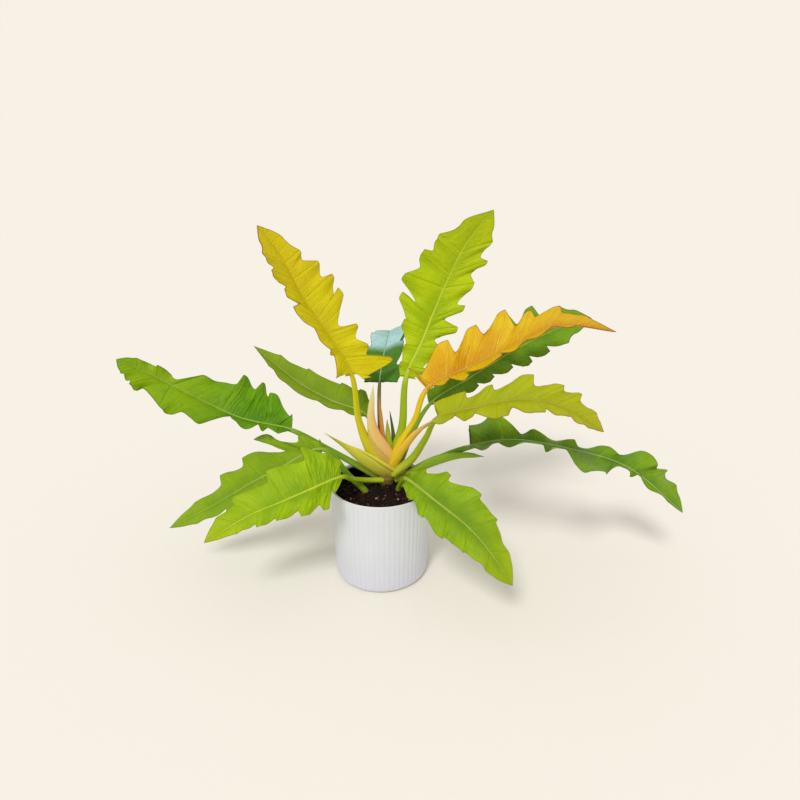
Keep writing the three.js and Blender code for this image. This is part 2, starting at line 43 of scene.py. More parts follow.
mm = 0.001  # shapes are worked out in millimetres, as in the part, and made metres at the end
curveSteps = 420  # how finely a line's length is measured


# Numbers
def mix(a, b, share):
    return a + (b - a) * share


def clamp(value, low=0.0, high=1.0):
    return max(low, min(high, value))


def smooth(low, high, value):
    share = clamp((value - low) / (high - low))
    return share * share * (3 - 2 * share)


def bell(share):
    return math.sin(math.pi * clamp(share))


def between(a, b, leave, arrive, w):
    # from a to b, leaving and arriving at the given slopes
    return (a + leave * w + (3 * (b - a) - 2 * leave - arrive) * w ** 2
            + (2 * (a - b) + leave + arrive) * w ** 3)


# Colours and shader nodes
def paint(code):
    # "#rrggbb" as the eye sees it, turned into Blender's linear colour
    parts = [int(code[i:i + 2], 16) / 255 for i in (1, 3, 5)]
    return tuple(p / 12.92 if p < 0.04045 else ((p + 0.055) / 1.055) ** 2.4 for p in parts) + (1.0,)


def paints(colours):
    return {name.capitalize(): paint(code) for name, code in colours.items()}


def setInputs(node, values):
    for socket, value in values.items():
        if isinstance(value, bpy.types.NodeSocket):
            node.id_data.links.new(value, node.inputs[socket])
        else:
            node.inputs[socket].default_value = value


work = {}  # the node tree that is being built


def startTree(tree):
    work["tree"] = tree
    return tree


def addNode(kind, values=None, **settings):
    node = work["tree"].nodes.new(kind)
    for name, value in settings.items():
        setattr(node, name, value)
    setInputs(node, values or {})
    return node


def calc(operation, a, b=0.0, c=0.0):
    return addNode("ShaderNodeMath", {0: a, 1: b, 2: c}, operation=operation).outputs[0]


def times(a, b):
    return calc("MULTIPLY", a, b)


def timesPlus(a, b, plus):
    return calc("MULTIPLY_ADD", a, b, plus)


def apart(a, b):
    return calc("ABSOLUTE", calc("SUBTRACT", a, b))


def ramp(value, low, high, start=0.0, end=1.0):
    values = {"Value": value, "From Min": low, "From Max": high, "To Min": start, "To Max": end}
    return addNode("ShaderNodeMapRange", values,
                   interpolation_type="SMOOTHSTEP").outputs["Result"]


def blend(share, a, b):
    node = addNode("ShaderNodeMix", data_type="RGBA")
    setInputs(node, {0: share, 6: a, 7: b})
    return node.outputs[2]


def tint(colour, other, mask, amount):
    # another colour, laid over the first one where the mask says, and as strongly as the amount
    return blend(times(mask, amount), colour, other)


def noiseAt(vector, scale, detail=3.0, roughness=0.5):
    values = {"Vector": vector, "Scale": scale, "Detail": detail, "Roughness": roughness}
    return addNode("ShaderNodeTexNoise", values).outputs[0]


def patches(vector, scale, detail, low, high):
    return ramp(noiseAt(vector, scale, detail), low, high)


def objectPlace():
    return addNode("ShaderNodeTexCoord").outputs["Object"]


def joined(x, y):
    return addNode("ShaderNodeCombineXYZ", {0: x, 1: y}).outputs[0]


def parted(vector):
    return addNode("ShaderNodeSeparateXYZ", {0: vector}).outputs


def attributeParts(name):
    return parted(addNode("ShaderNodeAttribute", attribute_name=name).outputs["Vector"])


def newGroup(name, inputs):
    # A skin as a node group: its tree, what it is given, and the node that it puts out
    tree = startTree(bpy.data.node_groups.new(name, "ShaderNodeTree"))
    for title, value in inputs.items():
        kind = "NodeSocketFloat" if isinstance(value, float) else "NodeSocketColor"
        tree.interface.new_socket(title, in_out="INPUT", socket_type=kind).default_value = value
    for title in ("Colour", "Roughness", "Height"):
        kind = "NodeSocketColor" if title == "Colour" else "NodeSocketFloat"
        tree.interface.new_socket(title, in_out="OUTPUT", socket_type=kind)
    return tree, tree.nodes.new("NodeGroupInput").outputs, tree.nodes.new("NodeGroupOutput")


def newMaterial(name, skin, values, bump, specular, **constants):
    # One principled shader fed by one skin; bump is (strength, distance in metres)
    material = bpy.data.materials.new(name)
    material.use_nodes = True
    tree = startTree(material.node_tree)
    group = addNode("ShaderNodeGroup", node_tree=skin)
    setInputs(group, values)
    raised = addNode("ShaderNodeBump", {"Strength": bump[0], "Distance": bump[1],
                                              "Height": group.outputs["Height"]})
    setInputs(tree.nodes["Principled BSDF"], {
        "Base Color": group.outputs["Colour"], "Roughness": group.outputs["Roughness"],
        "Normal": raised.outputs["Normal"], "Specular IOR Level": specular, **constants})
    return material


# Growing a tube: one circle, extruded ring by ring onto the given places
def growTube(bm, rings, mark=None):
    verts = bmesh.ops.create_circle(bm, segments=len(rings[0]), radius=1.0)["verts"]
    order = {vert: i for i, vert in enumerate(verts)}
    edges = list(dict.fromkeys(edge for vert in verts for edge in vert.link_edges))
    faces = bmesh.ops.edgeloop_fill(bm, edges=edges)["faces"]
    for step, ring in enumerate(rings):
        if step:
            grown = bmesh.ops.extrude_edge_only(bm, edges=edges)["geom"]
            fresh = [g for g in grown if isinstance(g, bmesh.types.BMVert)]
            order = {vert: next(order[edge.other_vert(vert)] for edge in vert.link_edges
                                if edge.other_vert(vert) in order) for vert in fresh}
            edges = [g for g in grown if isinstance(g, bmesh.types.BMEdge)
                     and g.verts[0] in order and g.verts[1] in order]
            faces += [g for g in grown if isinstance(g, bmesh.types.BMFace)]
        for vert, i in order.items():
            vert.co = ring[i]
            if mark:
                mark(vert, step, i)
    faces += bmesh.ops.edgeloop_fill(bm, edges=edges)["faces"]
    bmesh.ops.recalc_face_normals(bm, faces=faces)


def turnedRings(profile, sides, centre=(0, 0), shape=None):
    # Rings round a centre, each given as (radius, height), which shape may change on the way round
    rings = []
    for step, (radius, height) in enumerate(profile):
        ring = []
        for k in range(sides):
            angle = 2 * math.pi * k / sides
            r, z = shape(radius, height, angle, step) if shape else (radius, height)
            x, y = centre[0] + r * math.cos(angle), centre[1] + r * math.sin(angle)
            ring.append(Vector((x, y, z)))
        rings.append(ring)
    return rings


def makePiece(bm, name, material, node, sharpAngle=50):
    bmesh.ops.scale(bm, vec=(mm, mm, mm), verts=bm.verts)
    mesh = bpy.data.meshes.new(name)
    bm.to_mesh(mesh)
    bm.free()
    mesh.shade_smooth()
    mesh.set_sharp_from_angle(angle=math.radians(sharpAngle))
    mesh.materials.append(material)
    piece = bpy.data.objects.new(name, mesh)
    bpy.context.scene.collection.objects.link(piece)
    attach(piece, "root")
    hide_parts(node)


# A line through points, the same curve as in the part
def curvePoint(points, share):
    last = len(points) - 1
    index = min(int(last * share), last - 1)
    a, b = points[index], points[index + 1]
    before = points[index - 1] if index > 0 else points[0] * 2 - points[1]
    after = points[index + 2] if index + 2 <= last else points[last] * 2 - points[last - 1]
    d0, d1, d2 = [math.sqrt((q - p).length) for p, q in ((before, a), (a, b), (b, after))]
    leave = ((a - before) / d0 - (b - before) / (d0 + d1) + (b - a) / d1) * d1
    arrive = ((b - a) / d1 - (after - a) / (d1 + d2) + (after - b) / d2) * d1
    return between(a, b, leave, arrive, last * share - index)


def measuredCurve(points):
    # Places along the curve by true distance: the length up to each step, and a function
    marks = [curvePoint(points, i / curveSteps) for i in range(curveSteps + 1)]
    lengths = [0.0]
    for a, b in zip(marks, marks[1:]):
        lengths.append(lengths[-1] + (b - a).length)

    def at(distance):
        distance = clamp(distance, 0, lengths[-1])
        i = min(bisect_right(lengths, distance) - 1, curveSteps - 1)
        share = (i + (distance - lengths[i]) / (lengths[i + 1] - lengths[i])) / curveSteps
        ahead = curvePoint(points, min(share + 1e-4, 1))
        behind = curvePoint(points, max(share - 1e-4, 0))
        return curvePoint(points, share), (ahead - behind).normalized()
    return lengths, at


def acrossLine(tangent, way):
    # the way and its right-hand side, both square to the line
    up = (way - tangent * way.dot(tangent)).normalized()
    return up, tangent.cross(up).normalized()


# Leaves. Shape values are those of the part, in millimetres; the colours are what the eye sees.
# quilt is how far the blade puffs up between its side veins. puckers are fine cross ridges:
# [first place, last place, side, height, ridges in each lobe]. flush is (first share of
# the blade, last share, strength), and a fourth number ends it again; its colour is the leaf's own
# tint on most leaves, and on the dark back leaf a painted sheen of reflected sky on the arch's
# crest.
leafColours = {
    "gold": dict(blade="#d6ca08", deep="#c3b406", vein="#dccc20", rib="#c9b410", edge="#8b5f20",
                 under="#d8bf50", stalk="#c4bc14", foot="#d6cc3c", flush="#cdb608"),
    "lime": dict(blade="#b3c806", deep="#92b004", vein="#b9cc1c", rib="#c2d040", edge="#84921a",
                 under="#b0c440", stalk="#93ac14", foot="#bcc430", flush="#aeb606"),
    "orange": dict(blade="#dab806", deep="#ca8c06", vein="#e6c83c", rib="#d6a45c", edge="#853c14",
                   under="#d8a87c", stalk="#dcc41c", foot="#e0c828", flush="#c09424"),
    "olive": dict(blade="#abb508", deep="#98a206", vein="#bab634", rib="#b8a440", edge="#9d7626",
                  under="#bcbc50", stalk="#98ac18", foot="#b8c038", flush="#aaaa0c"),
    "green": dict(blade="#74a80a", deep="#588e08", vein="#86ac20", rib="#9cb848", edge="#56800e",
                  under="#88ac44", stalk="#76a01c", foot="#a4b434", flush="#8cac08"),
    # the dark leaf's pale blue flush colour is painted sheen: sky reflected on the crest of its
    # arch
    "dark": dict(blade="#4c800e", deep="#31640c", vein="#86ae64", rib="#8cb894", edge="#284e14",
                 under="#5f8c4c", stalk="#86703c", foot="#b8885c", flush="#b4dae0"),
}

leaves = [
    dict(name="leaf_gold_left", tint="gold", slot="leaf_gold",
         girth=(8, 3.6, 5), blunt=1.4, wave=3, fold=(24, 14), notch=(0.5, 0.32),
         stalk=[(12, 4, 166), (-14, 5, 200), (-31, 8, 246)],
         rib=[(-40, 18, 312), (-69, 22, 367), (-104, 22, 422), (-131, 18, 480), (-156, 10, 519)],
         facing=[(0.58, -0.74, 0.33), (0.6, -0.7, 0.38)],
         left=[(4, 16), (11, 34, -24, 0.2), (50, 17, 0, 0.05), (86, 20, 0, 0.1),
               (127, 27, 3, 0.48), (152, 25, 0, 0.24), (183, 30, 0, 0.16), (210, 24)],
         right=[(-10, 28), (2, 64, -11, 0.22), (27, 40, -11, 0.25), (57, 42, -8, 0.55),
                (110, 51, 7, 0.22), (135, 54, -3, 0.18), (162, 44, -8, 0.2), (184, 28)],
         quilt=1.2, flush=(0.3, 0.8, 0.6)),
    dict(name="leaf_lime_tall", tint="lime", slot="leaf_lime",
         girth=(8, 4.2), blunt=1.25, wave=4, fold=(8, 8), notch=(0.5, 0.24),
         stalk=[(14, 12, 170), (23, 16, 201), (32, 24, 228)],
         rib=[(38, 44, 299), (60, 54, 348), (80, 62, 398), (122, 66, 490), (157, 62, 535)],
         facing=[(-0.1, -1, 0.2), (0.3, -0.9, -0.1)],
         left=[(0, 12, 0, 0.15), (19, 16, 0, 0.1), (44, 22, 0, 0.05), (80, 37, 0, 0.06),
               (114, 54, 8, 0.43), (140, 61, -12, 0.16), (179, 51, -2, 0.14), (204, 41, 0, 0.25)],
         right=[(2, 14, 0, 0.2), (24, 26, 0, 0.3), (60, 28, -5, 0.43), (97, 41, -1, 0.5),
                (130, 38, 4, 0.29), (165, 37, -7, 0.27), (204, 40, 2, 0.16), (235, 30)],
         quilt=1.6, flush=(0.5, 0.9, 0.5)),
    dict(name="leaf_orange_right", tint="orange", slot="leaf_orange",
         girth=(6.2, 4, 2), blunt=1, wave=3, fold=(36, 38), notch=(0.5, 0.12),
         stalk=[(15, 1, 176), (27, -2, 210), (50, -4, 252)],
         rib=[(67, -2, 298), (127, 6, 328), (182, 10, 356), (248, 8, 386), (322, -4, 381)],
         facing=[(-0.3, -0.36, 0.88), (-0.1, -0.36, 0.93)],
         left=[(1, 42), (55, 50), (103, 51), (148, 52), (176, 34), (206, 28), (236, 16)],
         right=[(8, 34), (32, 40), (57, 56, 4), (112, 44), (152, 36), (196, 24), (234, 13)],
         quilt=1.4, flush=(0.5, 1, 0.7), puckers=[(0.6, 3.6, 0, 0.8, 6)]),
    dict(name="leaf_green_right_back", tint="green", slot="leaf_green",
         girth=(5, 3.2), blunt=1.3, wave=4, fold=(15, 10), notch=(0.36, 0.3),
         stalk=[(22, 16, 160), (32, 22, 177), (45, 33, 207)],
         rib=[(75, 60, 251), (137, 80, 286), (214, 95, 331), (275, 105, 359), (322, 105, 374)],
         facing=[(-0.4, -0.6, 0.7), (-0.3, -0.6, 0.7)],
         left=[(16, 26), (46, 34), (80, 40), (110, 46), (142, 51), (178, 56), (214, 55),
               (244, 37)],
         right=[(20, 26), (48, 32), (76, 27), (104, 28), (136, 31), (165, 39), (196, 37),
                (232, 33)],
         quilt=1.8, flush=(0.5, 1, 0.2),
         colours=dict(blade="#6c980a", deep="#507c08", vein="#84a824", edge="#3c6010")),
    dict(name="leaf_lime_right", tint="olive", slot="leaf_lime",
         girth=(8, 4.2), blunt=1.15, wave=3, fold=(26, 20), notch=(0.42, 0.14),
         stalk=[(20, -1, 164), (46, -12, 193), (64, -26, 231)],
         rib=[(80, -50, 274), (121, -65, 293), (178, -85, 313), (229, -100, 311),
              (282, -115, 282)],
         facing=[(-0.3, -0.25, 0.9), (0.1, -0.35, 0.93)],
         left=[(-8, 34, 0, 0.12), (43, 27), (81, 27), (129, 38), (163, 30), (183, 28), (209, 18)],
         right=[(-4, 30), (32, 36), (62, 42), (108, 52), (148, 38), (178, 28), (206, 18)],
         quilt=1.6, flush=(0.35, 0.9, 0.6), roundFoot=True),
    dict(name="leaf_green_right_long", tint="green", slot="leaf_green",
         girth=(6.4, 4.6), blunt=1.2, wave=6, fold=(26, 12), notch=(0.35, 0.2),
         stalk=[(22, 6, 150), (66, 4, 173), (88, 3, 188)],
         rib=[(132, 0, 207), (190, -5, 220), (272, -15, 211), (355, -25, 187), (443, -35, 117)],
         facing=[(-0.2, 0, 0.97), (0.1, -0.28, 0.95), (0.5, -0.6, 0.65)],
         left=[(4, 44, 0, 0.04), (44, 52, -23, 0.24), (92, 19, -14, 0.2), (149, 14, -3, 0.5),
               (200, 17, -11, 0.24), (262, 41, -12, 0.1), (290, 37, 0, 0.05), (318, 31)],
         right=[(2, 34), (38, 40), (78, 28, -23, 0.6), (116, 26, -19, 0.42), (166, 60, -20, 0.08),
                (210, 21, -20, 0.12), (250, 9, 0, 0.1), (312, 5)],
         quilt=1.8, flush=(0.6, 1, 0.4), puckers=[(0.5, 2.6, 0, 0.9, 6)], roundFoot=True,
         colours=dict(blade="#789e10", deep="#4c780a", vein="#8cae34", rib="#acbf78")),
    dict(name="leaf_lime_front_right", tint="lime", slot="leaf_lime",
         girth=(5, 3.4), blunt=1.5, wave=3, fold=(10, 8), notch=(0.14, 0.05),
         stalk=[(23, -3, 120), (27, -13, 145), (33, -33, 169)],
         rib=[(39, -54, 183), (77, -95, 172), (121, -130, 150), (144, -150, 130),
              (173, -165, 89)],
         facing=[(-0.2, -0.7, 0.67), (0.2, -0.8, 0.55)],
         left=[(0, 14), (20, 25), (52, 40, 0, 0.2), (100, 44), (131, 34), (168, 20)],
         right=[(2, 14), (32, 21), (60, 29), (98, 35), (134, 29), (170, 19)],
         quilt=1.8, flush=(0.5, 1, 0.4),
         colours=dict(blade="#8aac06", deep="#648a04", vein="#94ae18", rib="#a4b84c")),
    dict(name="leaf_green_left_long", tint="green", slot="leaf_green",
         girth=(6, 4), blunt=1.5, wave=6, fold=(28, 20), notch=(0.18, 0.15),
         stalk=[(-3, 10, 152), (-32, 12, 169), (-78, 13, 197)],
         rib=[(-132, 16, 227), (-205, 18, 245), (-273, 16, 282), (-325, 10, 316), (-364, 0, 341)],
         facing=[(0.1, -0.3, 0.95), (0.42, -0.75, 0.5)],
         left=[(14, 27, -17, 0.2), (48, 16, 0, 0.05), (84, 20, -9, 0.6), (138, 46, -12, 0.15),
               (180, 48, -30, 0.2), (234, 33, 0, 0.1), (250, 18)],
         right=[(6, 24), (43, 49, -1, 0.14), (61, 63, -7, 0.2), (100, 62, 0, 0.1),
                (150, 34, -26, 0.3), (212, 16, 0, 0.1), (240, 13)],
         quilt=2, flush=(0.25, 0.7, 0.75), puckers=[(0.3, 4.6, 1, 0.8, 6), (0.4, 3, -1, 0.6, 6)],
         colours=dict(blade="#6a9e0a", deep="#477c06", vein="#86ac20", flush="#94b206")),
    dict(name="leaf_green_left_back", tint="green", slot="leaf_green",
         girth=(4.4, 3), blunt=0.9, wave=2, fold=(26, 22), notch=(0.08, 0.04),
         stalk=[(1, 15, 160), (-7, 29, 184), (-13, 43, 207)],
         rib=[(-22, 60, 231), (-82, 90, 246), (-133, 118, 264), (-172, 140, 287),
              (-211, 155, 316)],
         facing=[(0.05, -0.45, 0.9), (0.35, -0.5, 0.8)],
         left=[(6, 16), (36, 20), (78, 22), (143, 25), (187, 16)],
         right=[(4, 18), (29, 33), (66, 34), (134, 29), (188, 18)],
         quilt=1, flush=(0.5, 1, 0.3),
         colours=dict(blade="#809c08", deep="#688606", rib="#aeb860", edge="#76702c")),
    dict(name="leaf_lime_front_left", tint="lime", slot="leaf_lime",
         girth=(4.2, 3.4), blunt=1.2, wave=4, fold=(12, 8), notch=(0.24, 0.12),
         stalk=[(4, -3, 154), (-18, -11, 158), (-40, -30, 170)],
         rib=[(-53, -55, 187), (-95, -90, 185), (-127, -105, 177), (-168, -120, 165),
              (-226, -135, 133)],
         facing=[(0.15, -0.7, 0.7), (-0.15, -0.75, 0.65)],
         left=[(24, 20, 0, 0.35), (50, 36), (76, 32), (106, 24), (132, 21), (160, 14)],
         right=[(-8, 24, 0, 0.04), (8, 40, 0, 0.04), (37, 58), (97, 46), (146, 31), (176, 20)],
         quilt=2.2, flush=(0.5, 1, 0.4), puckers=[(0.8, 3.4, 0, 0.8, 5)],
         colours=dict(blade="#9ab804", deep="#769c04", vein="#a8c018")),
    dict(name="leaf_green_front_left", tint="green", slot="leaf_green",
         girth=(5.6, 3.8), blunt=1.2, wave=4, fold=(12, 8), notch=(0.28, 0.14),
         stalk=[(-15, -1, 122), (-26, -8, 142), (-46, -9, 164)],
         rib=[(-83, -12, 209), (-145, -22, 183), (-189, -26, 160), (-242, -30, 128),
              (-313, -32, 89)],
         facing=[(-0.2, -0.5, 0.85), (-0.3, -0.55, 0.75)],
         left=[(4, 22), (24, 30), (60, 36), (108, 36), (160, 29), (214, 17)],
         right=[(4, 16), (26, 30), (97, 68, 48, 0.5), (119, 45), (160, 38), (212, 20)],
         quilt=2, flush=(0.5, 1, 0.4), puckers=[(0.8, 3, 0, 0.8, 5)],
         colours=dict(blade="#84a408", deep="#688c06", vein="#92ac1c")),
    dict(name="leaf_dark_back", tint="dark", slot="leaf_dark",
         girth=(4.2, 2.8), blunt=1.2, wave=1, fold=(22, 10), notch=(0.2, 0.12),
         stalk=[(6, 15, 166), (1, 25, 198), (-2, 42, 233)],
         rib=[(-2, 67, 283), (6, 115, 324), (12, 168, 337), (18, 222, 315), (24, 266, 277)],
         facing=[(-0.3, -0.45, 0.85), (-0.1, 0.5, 0.85)],
         left=[(0, 24, 0, 0.04), (24, 31), (64, 28), (108, 28), (150, 26), (192, 18)],
         right=[(-4, 36, 0, 0.04), (22, 41), (64, 35), (108, 33), (150, 29), (192, 20)],
         # flush here lays the painted sky sheen on the crest of the arch only
         quilt=1.2, flush=(0.22, 0.29, 0.95, 0.46), roundFoot=True),
]

leafMake = dict(
    bladeThickness=0.9, arch=4, veinLean=(0.12, 0.85), veinSpacing=3, tipPoint=0.85,
    footRows=16, lobeRows=32, tipRows=30, halfColumns=18,
    sway=1.1, marginSway=0.9,  # loose unevenness of the blade and of its margin
    ribSides=20, ribStep=5.0, footShare=0.55, channel=0.3,
)


def leafLine(leaf):
    # The leaf's line as a table of frames a millimetre apart, from the crown to the tip
    points = [Vector(p) for p in leaf["stalk"] + leaf["rib"]]
    lengths, at = measuredCurve(points)
    stalkLength = lengths[round(curveSteps * len(leaf["stalk"]) / (len(points) - 1))]
    length = lengths[-1] - stalkLength
    facing = [Vector(way).normalized() for way in leaf["facing"]]
    table = []
    for step in range(int(lengths[-1]) + 2):
        point, tangent = at(step)
        place = clamp((step - stalkLength) / length) * (len(facing) - 1)
        lower = min(int(place), len(facing) - 2)
        look = facing[lower].lerp(facing[lower + 1], place - lower)
        table.append((point, tangent, *acrossLine(tangent, look)))

    def frameAt(along):
        reach = clamp(along + stalkLength, 0, len(table) - 1.001)
        low = int(reach)
        share = reach - low
        point, tangent, up, right = [a.lerp(b, share) for a, b in zip(table[low], table[low + 1])]
        return point + tangent * (along + stalkLength - reach), up, right
    return length, stalkLength, frameAt


def fullLobe(lobe, usualDepth=0.0):
    # (along, out, hook, depth), with the usual values for those left out
    return (*lobe, *(0, usualDepth)[len(lobe) - 2:])


def marginCorners(leaf, lobes, length):
    # The part's corners of one half's margin, as (place, along, out) and, at a lobe's tip, how
    # pointed it is
    stem = leaf["girth"][1]
    corners = [(0, 0, stem), (0.5, lobes[0][0] * 0.5, mix(stem, lobes[0][1], 0.56))]
    for i, lobe in enumerate(lobes[:-1]):
        along, out, hook, depth = fullLobe(lobe, mix(*leaf["notch"], i / (len(lobes) - 2)))
        nextAlong, nextOut = lobes[i + 1][:2]
        notchAlong = mix(along, nextAlong, 0.06) - hook
        notchOut = mix(out, min(out, nextOut), min(1, depth * 4)) * (1 - depth)
        point = 0 if i == 0 and leaf.get("roundFoot") else (
            leafMake["tipPoint"] * smooth(0.02, 0.2, depth))
        corners += [
            (i + 1, along, out, point),
            (i + 1.2, notchAlong, notchOut),
            (i + 1.48, mix(notchAlong, nextAlong, 0.36), mix(notchOut, nextOut, 0.46)),
            (i + 1.75, mix(notchAlong, nextAlong, 0.68), nextOut),
        ]
    along, out, _, depth = fullLobe(lobes[-1], leaf["notch"][1] * 0.6)
    for phase in (0, 0.1, 0.2, 0.32, 0.45, 0.6, 0.75, 0.9, 1):
        dip = 1 - depth * bell(phase * 2)
        corners.append((len(lobes) + phase, mix(along, length, phase),
                        out * dip * (1 - phase ** leaf["blunt"])))
    return corners


def marginAt(corners, place):
    # A smooth line through the corners. A lobe's tip stays a point: the line comes straight in
    # from the shoulder and leaves straight for the notch.
    upper = clamp(bisect_right([c[0] for c in corners], place), 1, len(corners) - 1)
    a, b = corners[upper - 1], corners[upper]
    before, after = corners[max(upper - 2, 0)], corners[min(upper + 1, len(corners) - 1)]
    gap = b[0] - a[0]
    w = clamp((place - a[0]) / gap)
    found = []
    for k in (1, 2):
        leave = (b[k] - before[k]) / max(b[0] - before[0], 1e-6) * gap * 0.8
        arrive = (after[k] - a[k]) / max(after[0] - a[0], 1e-6) * gap * 0.8
        if len(a) > 3:
            leave = mix(leave, b[k] - a[k], a[3])
        if len(b) > 3:
            arrive = mix(arrive, b[k] - a[k], b[3])
        found.append(between(a[k], b[k], leave, arrive, w))
    return found[0], max(found[1], 0.0)


def veinSteps(leaf, length):
    # Where each side vein leaves the midrib
    def footOf(lobe):
        along, out, hook, _ = fullLobe(lobe)
        return along - mix(*leafMake["veinLean"], clamp(along / length)) * out - hook * 1.5
    steps = [0.0]
    for a, b in zip(leaf["left"], leaf["right"]):
        middle = mix(footOf(a), footOf(b), 0.5)
        steps.append(max(middle, steps[-1] + leafMake["veinSpacing"]))
    return steps + [length]


def rowPlaces(count):
    make = leafMake
    rows = [i / make["footRows"] for i in range(make["footRows"])]
    for lobe in range(1, count):
        # rows stand closer together at a lobe's tip and in the notch after it
        rows += [lobe + (i / make["lobeRows"]) ** 1.25 for i in range(make["lobeRows"])]
    return rows + [count + i / make["tipRows"] for i in range(make["tipRows"] + 1)]


def bladeLift(leaf, seed, place, share, side, marginOut):
    # How far the blade's middle layer stands off its flat shape
    count = len(leaf["left"])
    inLobes = smooth(1, 1.4, place) * (1 - smooth(count - 0.4, count, place))
    lift = inLobes * leaf["wave"] * share ** 1.5 * math.cos(2 * math.pi * place)
    lift -= leafMake["arch"] * (marginOut * share / 40) ** 2
    # the blade puffs up between its side veins, and is drawn in along them and the midrib
    width = smooth(4, 30, marginOut) * (1 - smooth(count + 0.3, count + 1, place))
    puff = abs(math.sin(math.pi * place)) ** 0.8 * bell(share ** 0.8)
    lift += leaf["quilt"] * width * (puff - 0.35 * bell(share))
    for first, last, onSide, height, ridges in leaf.get("puckers", []):
        if onSide in (0, side):
            held = smooth(first, first + 0.5, place) * (1 - smooth(last - 0.7, last, place))
            wander = 0.25 * noise.noise(Vector((place * 2, share * 2, seed)))
            lift += (height * held * bell(share ** 0.7 * 0.96)
                     * math.sin(2 * math.pi * ridges * (place + wander)) * width)
    sway = noise.noise(Vector((place * 1.7, share * 2 * side, seed + 7.3)))
    lift += leafMake["sway"] * width * share ** 2 * sway
    marginSway = noise.noise(Vector((place * 5, side, seed + 3.1)))
    return lift + leafMake["marginSway"] * width * share ** 4 * marginSway


def makeBlade(bm, leaf, seed, length, frameAt):
    mapLayer, toneLayer = [bm.verts.layers.float_vector[name] for name in ("leafMap", "leafTone")]
    steps = veinSteps(leaf, length)
    rows = rowPlaces(len(leaf["left"]))
    margins = {}
    for side, lobes in ((-1, leaf["left"]), (1, leaf["right"])):
        corners = marginCorners(leaf, lobes, length)
        margins[side] = [marginAt(corners, place) for place in rows]
    half = leafMake["halfColumns"]
    thickness = leafMake["bladeThickness"]
    bmesh.ops.create_grid(bm, x_segments=2 * half, y_segments=len(rows) - 1, size=1.0)
    partner = bm.verts.layers.int.new("partner")
    facings = []
    for number, vert in enumerate(bm.verts):
        row = round((vert.co.y + 1) / 2 * (len(rows) - 1))
        column = round(vert.co.x * half)
        side = -1 if column < 0 else 1
        share = 1 - (1 - abs(column) / half) ** 1.2
        place = rows[row]
        lower = min(int(place), len(steps) - 2)
        marginAlong, marginOut = margins[side][row]
        along = mix(mix(steps[lower], steps[lower + 1], place - lower), marginAlong, share)
        point, up, right = frameAt(along)
        fold = math.radians(mix(*leaf["fold"], clamp(along / length)))
        outward = right * side * math.cos(fold) + up * math.sin(fold)
        normal = up * math.cos(fold) - right * side * math.sin(fold)
        lift = bladeLift(leaf, seed, place, share, side, marginOut)
        vert.co = point + outward * (marginOut * share) + normal * (lift + thickness / 2)
        vert[mapLayer] = (place, share * side, 0.0)
        vert[toneLayer] = ((1 - share) * marginOut, 0.0, along / length)
        vert[partner] = number
        facings.append(normal)

    # the underside: a second layer, set below the first one vertex by vertex
    bm.normal_update()
    tops = [(vert.co.copy(), vert.normal.copy() if vert.normal.dot(way) > 0.4 else way)
            for vert, way in zip(bm.verts, facings)]
    upper = set(bm.verts)
    bmesh.ops.solidify(bm, geom=bm.faces[:], thickness=thickness)
    for vert in bm.verts:
        if vert not in upper:
            top, way = tops[vert[partner]]
            vert.co = top - way * thickness
            edge, _, along = vert[toneLayer]
            vert[toneLayer] = (edge, 1.0, along)
    bm.verts.layers.int.remove(partner)
    bmesh.ops.remove_doubles(bm, verts=bm.verts, dist=0.02)


def makeStem(bm, leaf, length, stalkLength, frameAt):
    # The petiole runs on into the midrib as one tapering stem, channelled above
    sides = leafMake["ribSides"]
    foot, neck, spread = (*leaf["girth"], 0)[:3]
    count = int((stalkLength + length - 1) / leafMake["ribStep"])
    rings, alongs = [], []
    for i in range(count + 1):
        along = mix(-stalkLength, length - 1, i / count)
        point, up, right = frameAt(along)
        inStalk = clamp(1 + along / stalkLength) if along < 0 else 1.0
        onBlade = smooth(-14, 16, along)
        stalkHalf = mix(foot, neck, inStalk ** 0.8)
        ribHalf = mix(neck * 0.9, 0.6, clamp(along / length) ** 0.7)
        flare = spread * max(0, 1 - inStalk / leafMake["footShare"])
        across = mix(stalkHalf + flare, ribHalf * 0.86, onBlade)
        above = mix(stalkHalf * 0.88, ribHalf * 0.42 + 0.45, onBlade)
        below = mix(stalkHalf * 0.88, ribHalf * 0.8 + 0.45, onBlade)
        depth = leafMake["channel"] * (1 - onBlade) * smooth(0.1, 0.9, inStalk)
        ring = []
        for k in range(sides):
            angle = 2 * math.pi * k / sides
            x, z = math.cos(angle), math.sin(angle)
            height = z * above * (1 - depth * math.exp(-(x / 0.42) ** 2)) if z > 0 else z * below
            ring.append(point + right * x * across + up * height)
        rings.append(ring)
        alongs.append(along)
    mapLayer, toneLayer = [bm.verts.layers.float_vector[name] for name in ("leafMap", "leafTone")]

    def mark(vert, step, k):
        along = alongs[step]
        vert[mapLayer] = (0.0, k / sides, 1.0)
        vert[toneLayer] = (9.0, 0.0, along / length if along > 0 else along / stalkLength)
    growTube(bm, rings, mark)


def makeLeaf(leaf, seed):
    # leafMap is (place, share out with its side, 1 on the stem), and leafTone is (distance to
    # the margin in mm, 1 on the underside, share of the way to the tip)
    length, stalkLength, frameAt = leafLine(leaf)
    bm = bmesh.new()
    for name in ("leafMap", "leafTone"):
        bm.verts.layers.float_vector.new(name)
    makeBlade(bm, leaf, seed, length, frameAt)
    makeStem(bm, leaf, length, stalkLength, frameAt)
    return bm


